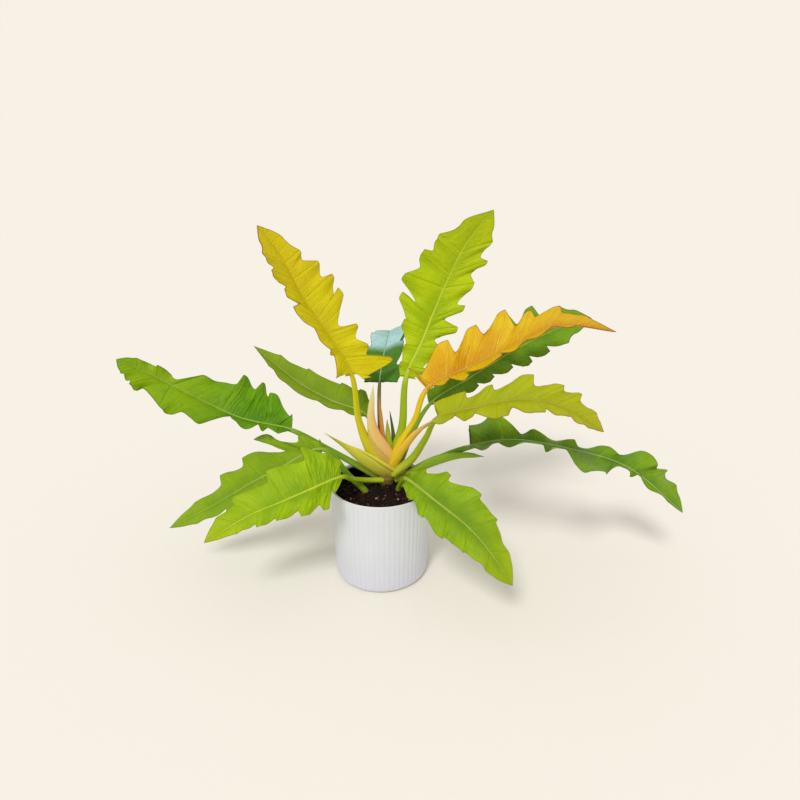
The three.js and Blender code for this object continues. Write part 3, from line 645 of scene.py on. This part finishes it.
leafLook = dict(
    sideVeins=4.0, fineVeins=17.0, net=420.0,  # veins to a lobe, and meshes of the net to a metre
    mainVein=0.42, sideVein=0.3, fineVein=0.08, netLine=0.06, midrib=0.5,  # how clearly they show
    # hollow is the strength of the painted shade in the crinkles' hollows
    under=0.85, rim=0.85, streaks=0.3, hollow=0.26,
    crinkle=2.8, fineVeinDip=-0.16, netDip=-0.12, streakRise=0.4, fleckRise=0.12,
    rough=0.26, roughBelow=0.18, roughCloud=0.1, roughFleck=0.08,
    bump=(0.8, 0.0008), specular=0.15,
)


def makeLeafSkin():
    look = leafLook
    tree, given, result = newGroup("leafSkin", {
        **paints(leafColours["green"]), "Flush start": 0.5, "Flush end": 1.0,
        "Flush amount": 0.5, "Flush stop": 2.0})
    place, across, onStem = attributeParts("leafMap")
    edge, under, along = attributeParts("leafTone")
    where = objectPlace()
    share = calc("ABSOLUTE", across)
    offStem = calc("SUBTRACT", 1.0, onStem)

    def nearVein(scaled):
        # distance from the nearest whole number
        return apart(calc("FRACT", calc("ADD", scaled, 0.5)), 0.5)

    wobble = times(calc("SUBTRACT", noiseAt(where, 60, 2), 0.5), 0.12)
    bent = calc("ADD", place, wobble)
    mainWidth = ramp(share, 0, 1, 0.04, 0.016)
    mainVein = ramp(calc("DIVIDE", nearVein(place), mainWidth), 0.35, 1.2, 1, 0)
    sideVein = ramp(nearVein(times(bent, look["sideVeins"])), 0.03, 0.13, 1, 0)
    fineVein = ramp(nearVein(times(bent, look["fineVeins"])), 0.05, 0.4, 1, 0)
    net = addNode("ShaderNodeTexVoronoi", {"Vector": where, "Scale": look["net"]},
                  feature="DISTANCE_TO_EDGE").outputs["Distance"]
    netLine = ramp(net, 0.0, 0.16, 1, 0)

    # the blade: deeper in places and by the midrib, then a colour laid over a stretch of its length
    # (the leaf's own tint, and on the dark back leaf a painted sheen of reflected sky), then veined
    cloud = patches(where, 26, 4, 0.32, 0.68)
    deep = timesPlus(cloud, 0.55, times(nearVein(place), 0.5))
    deep = calc("ADD", deep, ramp(share, 0.0, 0.7, 0.4, -0.12))
    blade = blend(deep, given["Blade"], given["Deep"])
    flush = times(ramp(along, given["Flush start"], given["Flush end"]), given["Flush amount"])
    flush = times(flush, ramp(noiseAt(where, 18, 3), 0.25, 0.6, 0.55, 1))
    past = ramp(calc("SUBTRACT", along, given["Flush stop"]), 0.0, 0.12, 1, 0)
    blade = tint(blade, given["Flush"], flush, past)
    mainFade = ramp(share, 0.75, 0.98, 1, 0.2)
    sideFade = ramp(share, 0.1, 0.9, 0.6, 0.25)
    veins = times(mainVein, times(mainFade, look["mainVein"]))
    for line in (times(sideVein, times(sideFade, look["sideVein"])),
                 times(fineVein, look["fineVein"]), times(netLine, look["netLine"]),
                 ramp(share, 0.0, 0.06, look["midrib"], 0)):
        veins = calc("MAXIMUM", veins, line)
    blade = blend(veins, blade, given["Vein"])
    below = tint(given["Under"], given["Vein"], veins, 0.6)
    blade = tint(blade, below, under, look["under"])
    rimWander = times(noiseAt(where, 140, 2), 0.9)
    rim = ramp(calc("ADD", edge, rimWander), 0.7, 1.7, look["rim"], 0)
    blade = blend(rim, blade, given["Edge"])

    stem = blend(ramp(along, -0.12, 0.1), given["Stalk"], given["Rib"])
    stem = blend(ramp(along, -0.95, -0.45, 0.85, 0), stem, given["Foot"])
    streak = joined(times(across, 26.0), times(along, 5.0))
    streaks = patches(streak, 1.0, 3, 0.35, 0.7)
    stem = tint(stem, given["Deep"], streaks, look["streaks"])
    colour = blend(onStem, blade, stem)

    # crinkles lie along the side veins, and painted shade darkens the green in their hollows
    crease = joined(times(place, 8.0), times(across, 4.5))
    crinkle = noiseAt(crease, 1.0, 4, 0.6)
    hollow = ramp(crinkle, 0.3, 0.5, look["hollow"], 0)
    colour = tint(colour, given["Deep"], hollow, offStem)

    # veins sink in on the upper side and stand out below
    fleck = noiseAt(where, 900, 2)
    height = times(calc("MAXIMUM", mainVein, times(sideVein, 0.5)),
                   calc("SUBTRACT", times(under, 2.0), 1.0))
    height = timesPlus(crinkle, look["crinkle"], height)
    height = timesPlus(fineVein, look["fineVeinDip"], height)
    height = timesPlus(netLine, look["netDip"], height)
    height = times(height, offStem)
    height = timesPlus(times(streaks, onStem), look["streakRise"], height)
    height = timesPlus(fleck, look["fleckRise"], height)
    rough = timesPlus(under, look["roughBelow"], look["rough"])
    rough = timesPlus(cloud, look["roughCloud"], rough)
    rough = timesPlus(fleck, look["roughFleck"], rough)
    setInputs(result, {"Colour": colour, "Roughness": rough, "Height": height})
    return tree


leafSkin = makeLeafSkin()
for number, leaf in enumerate(leaves):
    values = paints({**leafColours[leaf["tint"]], **leaf.get("colours", {})})
    for title, value in zip(("start", "end", "amount", "stop"), leaf["flush"]):
        values["Flush " + title] = float(value)
    material = newMaterial(leaf["name"] + "_skin", leafSkin, values, leafLook["bump"],
                           leafLook["specular"])
    makePiece(makeLeaf(leaf, 11.0 + 5.7 * number), leaf["name"] + "_living", material,
              leaf["name"])
print("leaves made:", len(leaves))


# Sheaths and rolled leaves round the crown
sheaths = [
    dict(name="sheath_left", slot="sheath_pale", hollow=(0.1, 0.93, 0.25), open=0.45,
         widths=(12, 13.5, 14, 12.5, 9, 4.8, 2.2), flat=0.34,
         line=[(19, 0, 162), (1, -8, 176), (-20, -12, 193), (-43, -14, 210), (-78, -14, 235)],
         colours=dict(low="#cfc24c", middle="#c4c63c", high="#96a424", edge="#8a8428",
                      side="#d8ca3c"), crease=0.85),
    dict(name="sheath_right", slot="sheath_pale", hollow=(-0.2, 0.95, 0.2), open=0.5,
         widths=(7, 7, 6.6, 6.2, 5.6, 4.6, 2.8), flat=0.5,
         line=[(18, -3, 178), (33, -8, 207), (50, -11, 232), (73, -13, 254)],
         colours=dict(low="#e3c020", middle="#e8b83c", high="#dfae7c", edge="#b88a3c")),
    dict(name="sheath_low_right", slot="sheath_green", hollow=(0, 0.9, 0.45), open=0.7,
         widths=(6, 7.5, 8.5, 9, 8, 6, 4.6), flat=0.6,
         line=[(40, -2, 163), (73, -4, 183), (98, -6, 193), (124, -7, 197), (152, -8, 195)],
         colours=dict(low="#94ae20", middle="#84a810", high="#76980e", edge="#5c7a14")),
    dict(name="spear_pink", slot="sheath_pale", hollow=(0, 1, 0.1), rolled=True,
         widths=(15, 15, 13, 10, 7, 5, 3.4), flat=0.4,
         line=[(16, 3, 171), (4, 4, 197), (-8, 5, 222), (-13, 6, 250), (-9, 8, 300)],
         colours=dict(low="#d8c04c", middle="#dcc470", high="#d8d494", edge="#c08c50",
                      side="#e09c6c")),
    dict(name="spear_orange", slot="sheath_pale", hollow=(0, 1, 0.1), rolled=True,
         widths=(4.5, 4.2, 4, 3.6, 3, 2.4, 1.6), flat=0.6,
         line=[(13, 9, 184), (5, 12, 209), (1, 14, 252), (-1, 15, 278)],
         colours=dict(low="#d2a444", middle="#cc8638", high="#b8804c", edge="#8a5430")),
    dict(name="spear_green", slot="sheath_green", hollow=(0, 1, 0.1), rolled=True,
         widths=(6, 6, 6, 5.5, 4.5, 3.4, 2), flat=0.6,
         line=[(16, 12, 180), (12, 14, 211), (10, 16, 244)],
         colours=dict(low="#bec038", middle="#a8b41c", high="#88a024", edge="#7f8a2c")),
    dict(name="spike_dark", slot="sheath_green", hollow=(0, 1, 0.1), open=1,
         widths=(3.6, 3.4, 3.4, 3, 2.4, 1.8, 1.2), flat=0.7,
         line=[(20, 16, 188), (19, 20, 217), (14, 24, 254)],
         colours=dict(low="#6c7428", middle="#4c5c1c", high="#323e18", edge="#34381a")),
]

sheathMake = dict(rings=40, sides=32, point=0.4, seam=0.16, seamStart=0.62, turns=0.55)
sheathLook = dict(side=0.8, fibres=0.22, seam=0.75, cloud=0.2, creaseDip=-2.5, rough=0.32,
                  bump=(0.4, 0.0003), specular=0.25)


def makeSheathSkin():
    look = sheathLook
    tree, given, result = newGroup("sheathSkin", {
        **paints(sheaths[0]["colours"]), "Side amount": 0.0, "Crease amount": 0.0})
    along, around, seam = attributeParts("sheathTone")
    where = objectPlace()
    colour = blend(ramp(along, 0.05, 0.45), given["Low"], given["Middle"])
    colour = blend(ramp(along, 0.5, 0.95), colour, given["High"])
    sideTint = times(ramp(around, 0.52, 0.86, 1, 0), given["Side amount"])
    colour = tint(colour, given["Side"], sideTint, ramp(along, 0.6, 0.9, 1, 0))
    fibre = joined(times(around, 34.0), times(along, 4.0))
    fibres = patches(fibre, 1.0, 3, 0.35, 0.7)
    colour = tint(colour, given["Edge"], fibres, look["fibres"])
    colour = tint(colour, given["Edge"], seam, look["seam"])
    cloud = patches(where, 70, 3, 0.35, 0.65)
    colour = tint(colour, given["Low"], cloud, look["cloud"])
    # a crease runs beside the upper edge
    beside = apart(around, timesPlus(along, -0.1, 0.66))
    crease = times(ramp(beside, 0.004, 0.024, 1, 0),
                   ramp(along, 0.45, 0.65, 1, 0))
    crease = times(crease, given["Crease amount"])
    colour = blend(crease, colour, given["Edge"])
    height = timesPlus(noiseAt(where, 700, 2), 0.2, fibres)
    height = timesPlus(crease, look["creaseDip"], height)
    rough = timesPlus(cloud, 0.12, look["rough"])
    setInputs(result, {"Colour": colour, "Roughness": rough, "Height": height})
    return tree


def widthAt(sheath, share):
    # A smooth line through the half widths, which stand evenly apart and end in a point
    marks = [*sheath["widths"], sheathMake["point"]]
    index = min(int(share * (len(marks) - 1)), len(marks) - 2)
    a, b = marks[index], marks[index + 1]
    leave = (b - marks[max(index - 1, 0)]) / 2
    arrive = (marks[min(index + 2, len(marks) - 1)] - a) / 2
    return between(a, b, leave, arrive, share * (len(marks) - 1) - index)


def makeSheath(sheath):
    # sheathTone is (share of the way up, share of the way round, how near the free edge)
    lengths, at = measuredCurve([Vector(p) for p in sheath["line"]])
    sides = sheathMake["sides"]
    rings, seams = [], []
    for i in range(sheathMake["rings"] + 1):
        share = i / sheathMake["rings"]
        point, tangent = at(lengths[-1] * share)
        up, right = acrossLine(tangent, Vector(sheath["hollow"]))
        width = widthAt(sheath, share)
        ring, ringSeams = [], []
        for k in range(sides):
            angle = 2 * math.pi * k / sides
            x, z = math.cos(angle), math.sin(angle)
            reach, seam = 1.0, 0.0
            if sheath.get("rolled"):
                # the free edge of the rolled blade winds round the spear
                turn = (k / sides - sheathMake["seamStart"] - share * sheathMake["turns"]) % 1.0
                reach = 1 - sheathMake["seam"] * math.exp(-turn / 0.12)
                seam = math.exp(-turn / 0.05)
            elif z > 0:
                # the side that faces the crown is hollow, between two thin edges
                z *= mix(1, sheath["open"], smooth(0.95, 0.3, abs(x)))
                seam = smooth(0.86, 1, abs(x)) * 0.6
            ring.append(point + right * x * width * reach + up * z * width * sheath["flat"] * reach)
            ringSeams.append(seam)
        rings.append(ring)
        seams.append(ringSeams)
    bm = bmesh.new()
    layer = bm.verts.layers.float_vector.new("sheathTone")

    def mark(vert, step, k):
        vert[layer] = (step / sheathMake["rings"], k / sides, seams[step][k])
    growTube(bm, rings, mark)
    return bm


sheathSkin = makeSheathSkin()
for sheath in sheaths:
    values = paints(sheath["colours"])
    if "Side" in values:
        values["Side amount"] = sheathLook["side"]
    values["Crease amount"] = sheath.get("crease", 0.0)
    material = newMaterial(sheath["name"] + "_skin", sheathSkin, values, sheathLook["bump"],
                           sheathLook["specular"])
    makePiece(makeSheath(sheath), sheath["name"] + "_living", material, sheath["name"])
print("sheaths made:", len(sheaths))


# Cover pot
pot = dict(height=150, radius=76, footRadius=71, wall=2.6, floor=3.5, ribs=60, ribDepth=0.38,
           lip=5, lineDepth=0.35, footRound=9, footSquare=0.8, footRing=12, footRise=0.9,
           rimRound=1.1, sides=600, levels=(14, 30, 60, 90, 120), insideLevels=(110, 60, 12),
           # low is painted shade, a cool lilac over the pot's lower part; grime colours the scuffs
           # and the painted shade in the grooves between the ribs
           colours=dict(body="#d5d8dc", low="#cbcbd8", grime="#bab9c2"),
           # dusty is how strongly painted shade darkens the rib grooves here, and on the liner how
           # much dust lies on it
           cloud=0.12, dusty=0.14, scuffs=0.18, foot=0.55, rough=0.36,
           bump=(0.12, 0.0002), specular=0.5, coat=0.1, coatRough=0.3)


def potRadiusAt(z):
    return mix(pot["footRadius"], pot["radius"], z / pot["height"])


def potOutline():
    # from the middle of the underside, out, up the ribbed wall, over the rim and down inside
    top, rimRound, footRound = pot["height"], pot["rimRound"], pot["footRound"]
    ring = pot["footRadius"] - pot["footRing"]
    outline = [(1, pot["footRise"]), (ring - 2, pot["footRise"]), (ring, 0.0)]
    for i in range(9):
        z = footRound * (i / 8) ** 1.6
        inward = footRound * (1 - math.sqrt(1 - (1 - z / footRound) ** 2)) * pot["footSquare"]
        outline.append((potRadiusAt(z) - inward, z))
    ribTop = top - pot["lip"]
    band = [ribTop - 4, ribTop - 1.5, ribTop - 0.7, ribTop - 0.2, ribTop + 0.5]
    outline += [(potRadiusAt(z), z) for z in (*pot["levels"], *band)]
    outer = potRadiusAt(top) - rimRound
    inner = potRadiusAt(top) - pot["wall"] + rimRound
    for centre, angles in ((outer, (0, 22.5, 45, 67.5, 90)), (inner, (112.5, 135, 157.5, 180))):
        for angle in angles:
            angle = math.radians(angle)
            outline.append((centre + rimRound * math.cos(angle),
                            top - rimRound + rimRound * math.sin(angle)))
    outline += [(potRadiusAt(z) - pot["wall"], z) for z in pot["insideLevels"]]
    foot = potRadiusAt(pot["floor"]) - pot["wall"]
    return outline + [(foot - 1.5, pot["floor"] + 2), (foot - 5, pot["floor"]), (1, pot["floor"])]


def makePot():
    outline = potOutline()
    rimStep = max(range(len(outline)), key=lambda i: outline[i][1])
    ribTop = pot["height"] - pot["lip"]

    def shape(radius, z, angle, step):
        if step < rimStep and radius > pot["footRadius"] - pot["footRing"] + 1:
            held = smooth(1, 8, z) * (1 - smooth(ribTop - 1.6, ribTop - 0.4, z))
            groove = abs(math.cos(angle * pot["ribs"] / 2)) ** 5
            line = math.exp(-((z - ribTop) / 0.5) ** 2)  # the faint line under the rim band
            radius -= pot["ribDepth"] * groove * held + line * pot["lineDepth"]
        return radius, z
    bm = bmesh.new()
    growTube(bm, turnedRings(outline, pot["sides"], shape=shape))
    return bm


def makePotSkin():
    tree, given, result = newGroup("potSkin", paints(pot["colours"]))
    where = objectPlace()
    x, y, z = parted(where)
    # painted shade: the pot turns towards the cool lilac low colour down its lower part, most at
    # the floor
    colour = blend(ramp(z, 0.1, 0.0, 0, 0.75), given["Body"], given["Low"])
    cloud = patches(where, 14, 4, 0.35, 0.7)
    colour = tint(colour, given["Low"], cloud, pot["cloud"])
    # painted shade darkens the grooves between the ribs
    angle = times(calc("ARCTAN2", y, x), pot["ribs"] / 2)
    groove = calc("POWER", calc("ABSOLUTE", calc("COSINE", angle)), 9.0)
    onRibs = times(ramp(z, 0.002, 0.01), ramp(z, 0.1435, 0.1445, 1, 0))
    colour = tint(colour, given["Grime"], groove, times(onRibs, pot["dusty"]))
    scuffs = patches(where, 220, 4, 0.66, 0.74)
    colour = tint(colour, given["Grime"], scuffs, pot["scuffs"])
    # darker towards the bottom edge
    uneven = calc("ADD", z, times(noiseAt(where, 90, 3), 0.003))
    colour = blend(ramp(uneven, 0.001, 0.005, pot["foot"], 0), colour, given["Grime"])
    height = timesPlus(scuffs, 0.2, noiseAt(where, 1500, 2))
    rough = timesPlus(cloud, 0.1, timesPlus(scuffs, 0.12, pot["rough"]))
    setInputs(result, {"Colour": colour, "Roughness": rough, "Height": height})
    return tree


potSkin = newMaterial("potGlazedPlastic", makePotSkin(), {}, pot["bump"], pot["specular"],
                      **{"Coat Weight": pot["coat"], "Coat Roughness": pot["coatRough"]})
makePiece(makePot(), "coverPot", potSkin, "cover_pot", 70)


# The grower's pot inside it
liner = dict(height=146, gap=3.0, wall=1.4, lip=3, foot=3.85, slope=7, sides=120,
             colours=dict(body="#0d0d0e", dust="#4a453e"), dusty=0.55, rough=0.36,
             bump=(0.2, 0.0003), specular=0.25)


def makeLiner():
    def radiusAt(z):
        return potRadiusAt(z) - liner["gap"]
    foot, slope, top, wall = liner["foot"], liner["slope"], liner["height"], liner["wall"]
    rim = radiusAt(top)
    lip = rim - liner["lip"]
    corner = radiusAt(foot + slope)
    middle = 80
    profile = [(1, foot), (corner - slope, foot), (corner, foot + slope),
               (radiusAt(middle), middle), (radiusAt(top - 3), top - 3), (rim, top - 1.2),
               (rim - 0.3, top - 0.4), (rim - 0.9, top), (lip + 0.5, top),
               (lip - 0.2, top - 0.5), (lip - 0.5, top - 1.4), (lip - 0.3, top - 2.6),
               (rim - wall - 0.6, top - slope),
               (radiusAt(middle) - wall, middle), (corner - wall, foot + slope),
               (corner - slope, foot + wall), (1, foot + wall)]
    bm = bmesh.new()
    growTube(bm, turnedRings(profile, liner["sides"]))
    return bm


def makeLinerSkin():
    tree, given, result = newGroup("linerSkin", paints(liner["colours"]))
    where = objectPlace()
    dust = ramp(noiseAt(where, 160, 5, 0.65), 0.56, 0.72)
    colour = tint(given["Body"], given["Dust"], dust, liner["dusty"])
    setInputs(result, {"Colour": colour, "Height": noiseAt(where, 900, 3),
                             "Roughness": timesPlus(dust, 0.35, liner["rough"])})
    return tree


linerSkin = newMaterial("linerBlackPlastic", makeLinerSkin(), {}, liner["bump"],
                        liner["specular"])
makePiece(makeLiner(), "growersPot", linerSkin, "growers_pot", 40)
print("pots made")


# Crown: the short stem with its leaf scars, made after the soil that is heaped against it. Its
# outline is (radius, height).
crown = dict(axis=(8, 7), sides=64, rows=7, scarSpacing=7, scarDepth=0.06, barkDepth=0.05,
             outline=[(0.6, 100), (5, 102), (9, 118), (11, 136), (14, 152), (13, 163), (7, 172),
                      (0.6, 174)],
             colours=dict(low="#3c2c18", middle="#76662a", high="#a89c3c", edge="#6c4c2c"),
             bump=(0.5, 0.0006), specular=0.5)


# Soil: a lumpy mound with loose bark and coir on it, heaped against the crown
soil = dict(edge=130, mound=11, tilt=0.09, lumps=1.6, fine=1.6, finest=0.7, heap=6, heapWidth=26,
            foot=5.6, inset=2.1, sides=120, rings=26, chips=900, chipSizes=(1.0, 3.4),
            smallShare=0.5, smallSize=0.6, flatShare=0.75, chipMargin=2.5, seed=31,
            colours=dict(dark="#0e0604", brown="#3a1c14", light="#784638", fleck="#b08478"),
            bump=(0.6, 0.0012), specular=0.2)


def soilRadiusAt(z):
    return potRadiusAt(z) - liner["gap"] - soil["inset"]


def soilHeightAt(x, y):
    share = clamp(math.hypot(x, y) / soilRadiusAt(soil["edge"]))
    lumps = math.sin(x * 0.31 + y * 0.12) + math.sin(y * 0.37 - x * 0.09)
    fine = (noise.noise(Vector((x * 0.35, y * 0.35, 4.0))) * soil["fine"]
            + noise.noise(Vector((x, y, 9.0))) * soil["finest"])
    held = min(1, (1 - share) * 5)
    crownX, crownY = crown["axis"]
    far = ((x - crownX) ** 2 + (y - crownY) ** 2) / soil["heapWidth"] ** 2
    return (soil["edge"] + soil["mound"] * (1 - share ** 2) + soil["tilt"] * x
            + held * (soil["lumps"] * lumps + fine) + soil["heap"] * math.exp(-far))


def addChip(bm, tone, draw, reach):
    # one flake of bark, mostly lying flat
    angle = draw.uniform(0, 2 * math.pi)
    radius = reach * math.sqrt(draw.random())
    x, y = radius * math.cos(angle), radius * math.sin(angle)
    size = draw.uniform(*soil["chipSizes"])
    size *= soil["smallSize"] if draw.random() < soil["smallShare"] else 1
    made = bmesh.ops.create_icosphere(bm, subdivisions=1, radius=size)["verts"]
    sizes = (draw.uniform(0.7, 1.5), draw.uniform(0.35, 0.8), draw.uniform(0.2, 0.45))
    bmesh.ops.scale(bm, verts=made, vec=sizes)
    for vert in made:
        vert.co *= draw.uniform(0.8, 1.2)
    way = Vector((draw.uniform(-1, 1), draw.uniform(-1, 1), draw.uniform(-1, 1)))
    turn = way.to_track_quat("X", "Z")
    lean = Vector((draw.uniform(-0.5, 0.5), draw.uniform(-0.5, 0.5), 1)).to_track_quat("Z", "Y")
    spin = (lean if draw.random() < soil["flatShare"] else turn).to_matrix()
    yaw = Vector((math.cos(angle * 7), math.sin(angle * 7), 0)).to_track_quat("X", "Z").to_matrix()
    bmesh.ops.rotate(bm, verts=made, matrix=spin @ yaw)
    bmesh.ops.translate(bm, verts=made, vec=(x, y, soilHeightAt(x, y) + size * 0.12))
    shade = draw.random()
    for vert in made:
        vert[tone] = 0.15 + 0.85 * shade ** 1.6


def makeSoil():
    edge, foot, count = soilRadiusAt(soil["edge"]), soil["foot"], soil["rings"]
    profile = [(1, foot), (soilRadiusAt(15) - 9, foot)]
    profile += [(soilRadiusAt(z), z) for z in (15, 80, 118)]
    wall = len(profile)
    profile += [(edge * (1 - i / count) + 0.8 * i / count, 0) for i in range(count + 1)]

    def shape(radius, z, angle, step):
        if step >= wall:
            z = soilHeightAt(radius * math.cos(angle), radius * math.sin(angle))
        return radius, z
    bm = bmesh.new()
    tone = bm.verts.layers.float.new("barkTone")
    growTube(bm, turnedRings(profile, soil["sides"], shape=shape))
    draw = random.Random(soil["seed"])
    for _ in range(soil["chips"]):
        addChip(bm, tone, draw, edge - soil["chipMargin"])
    return bm


def makeSoilSkin():
    tree, given, result = newGroup("soilSkin", paints(soil["colours"]))
    tone = addNode("ShaderNodeAttribute", attribute_name="barkTone").outputs["Fac"]
    crumb = noiseAt(objectPlace(), 500, 4, 0.6)
    colour = blend(ramp(timesPlus(tone, 0.9, crumb), 0.4, 1.1),
                   given["Dark"], given["Brown"])
    colour = blend(ramp(times(tone, crumb), 0.28, 0.5), colour, given["Light"])
    colour = tint(colour, given["Fleck"], ramp(tone, 0.88, 0.95), 0.7)
    setInputs(result, {"Colour": colour, "Height": crumb,
                             "Roughness": ramp(crumb, 0.3, 0.7, 0.7, 0.95)})
    return tree


barkAndCoir = newMaterial("barkAndCoir", makeSoilSkin(), {}, soil["bump"], soil["specular"])
makePiece(makeSoil(), "pottingMix", barkAndCoir, "soil", 30)
print("soil made:", soil["chips"], "bark bits")


def makeCrown():
    outline, rows = crown["outline"], crown["rows"]
    profile = [(mix(r0, r1, i / rows), mix(z0, z1, i / rows))
               for (r0, z0), (r1, z1) in zip(outline, outline[1:]) for i in range(rows)]
    profile.append(outline[-1])

    def shape(radius, z, angle, step):
        # each old leaf left a ring round the stem, a little lower on one side
        ring = math.sin((z + 3 * math.sin(angle)) * 2 * math.pi / crown["scarSpacing"])
        bark = noise.noise(Vector((math.cos(angle) * 2, math.sin(angle) * 2, z * 0.2)))
        return radius * (1 - crown["scarDepth"] * (0.5 + 0.5 * ring)
                         - crown["barkDepth"] * (0.5 + 0.5 * bark)), z
    bm = bmesh.new()
    layer = bm.verts.layers.float_vector.new("sheathTone")

    def mark(vert, step, k):
        vert[layer] = (step / (len(profile) - 1), k / crown["sides"], 0.0)
    growTube(bm, turnedRings(profile, crown["sides"], crown["axis"], shape), mark)
    return bm


crownSkin = newMaterial("crown_skin", sheathSkin, paints(crown["colours"]), crown["bump"],
                        crown["specular"])
makePiece(makeCrown(), "crownStem", crownSkin, "crown")
print("crown made")


# Room: floor, soft light and camera
room = dict(
    floor="#efe9df", floorSize=40, floorRough=0.8, sky=(1.0, 0.99, 0.97, 1), skyLight=0.72,
    seen="#f7f1e6", sunStrength=1.6, sunSize=14, sunTurn=(42, 0, -20),
    cameraAt=(0.029, -0.796, 0.586), cameraTilt=69, lens=27,
)


def addObject(name, data):
    thing = bpy.data.objects.new(name, data)
    bpy.context.scene.collection.objects.link(thing)
    return thing


def makeRoom():
    bm = bmesh.new()
    bmesh.ops.create_grid(bm, x_segments=1, y_segments=1, size=room["floorSize"] / 2)
    mesh = bpy.data.meshes.new("floor")
    bm.to_mesh(mesh)
    bm.free()
    floor = addObject("floor", mesh)
    material = bpy.data.materials.new("paleFloor")
    material.use_nodes = True
    setInputs(material.node_tree.nodes["Principled BSDF"],
              {"Base Color": paint(room["floor"]), "Roughness": room["floorRough"]})
    mesh.materials.append(material)

    world = bpy.data.worlds.new("studio")
    world.use_nodes = True
    tree = startTree(world.node_tree)
    # the camera sees the sky in the floor's own colour, so that no horizon shows
    seen = addNode("ShaderNodeLightPath").outputs["Is Camera Ray"]
    setInputs(tree.nodes["Background"], {
        "Color": blend(seen, room["sky"], paint(room["seen"])),
        "Strength": ramp(seen, 0, 1, room["skyLight"], 1.0)})
    bpy.context.scene.world = world

    sun = bpy.data.lights.new("windowLight", "SUN")
    sun.energy = room["sunStrength"]
    sun.angle = math.radians(room["sunSize"])
    addObject("windowLight", sun).rotation_euler = [math.radians(a) for a in room["sunTurn"]]

    lens = bpy.data.cameras.new("eye")
    lens.lens = room["lens"]
    camera = addObject("eye", lens)
    camera.location = room["cameraAt"]
    camera.rotation_euler = (math.radians(room["cameraTilt"]), 0, 0)
    bpy.context.scene.camera = camera
    bpy.context.scene.view_settings.view_transform = "Standard"


makeRoom()
print("room made")
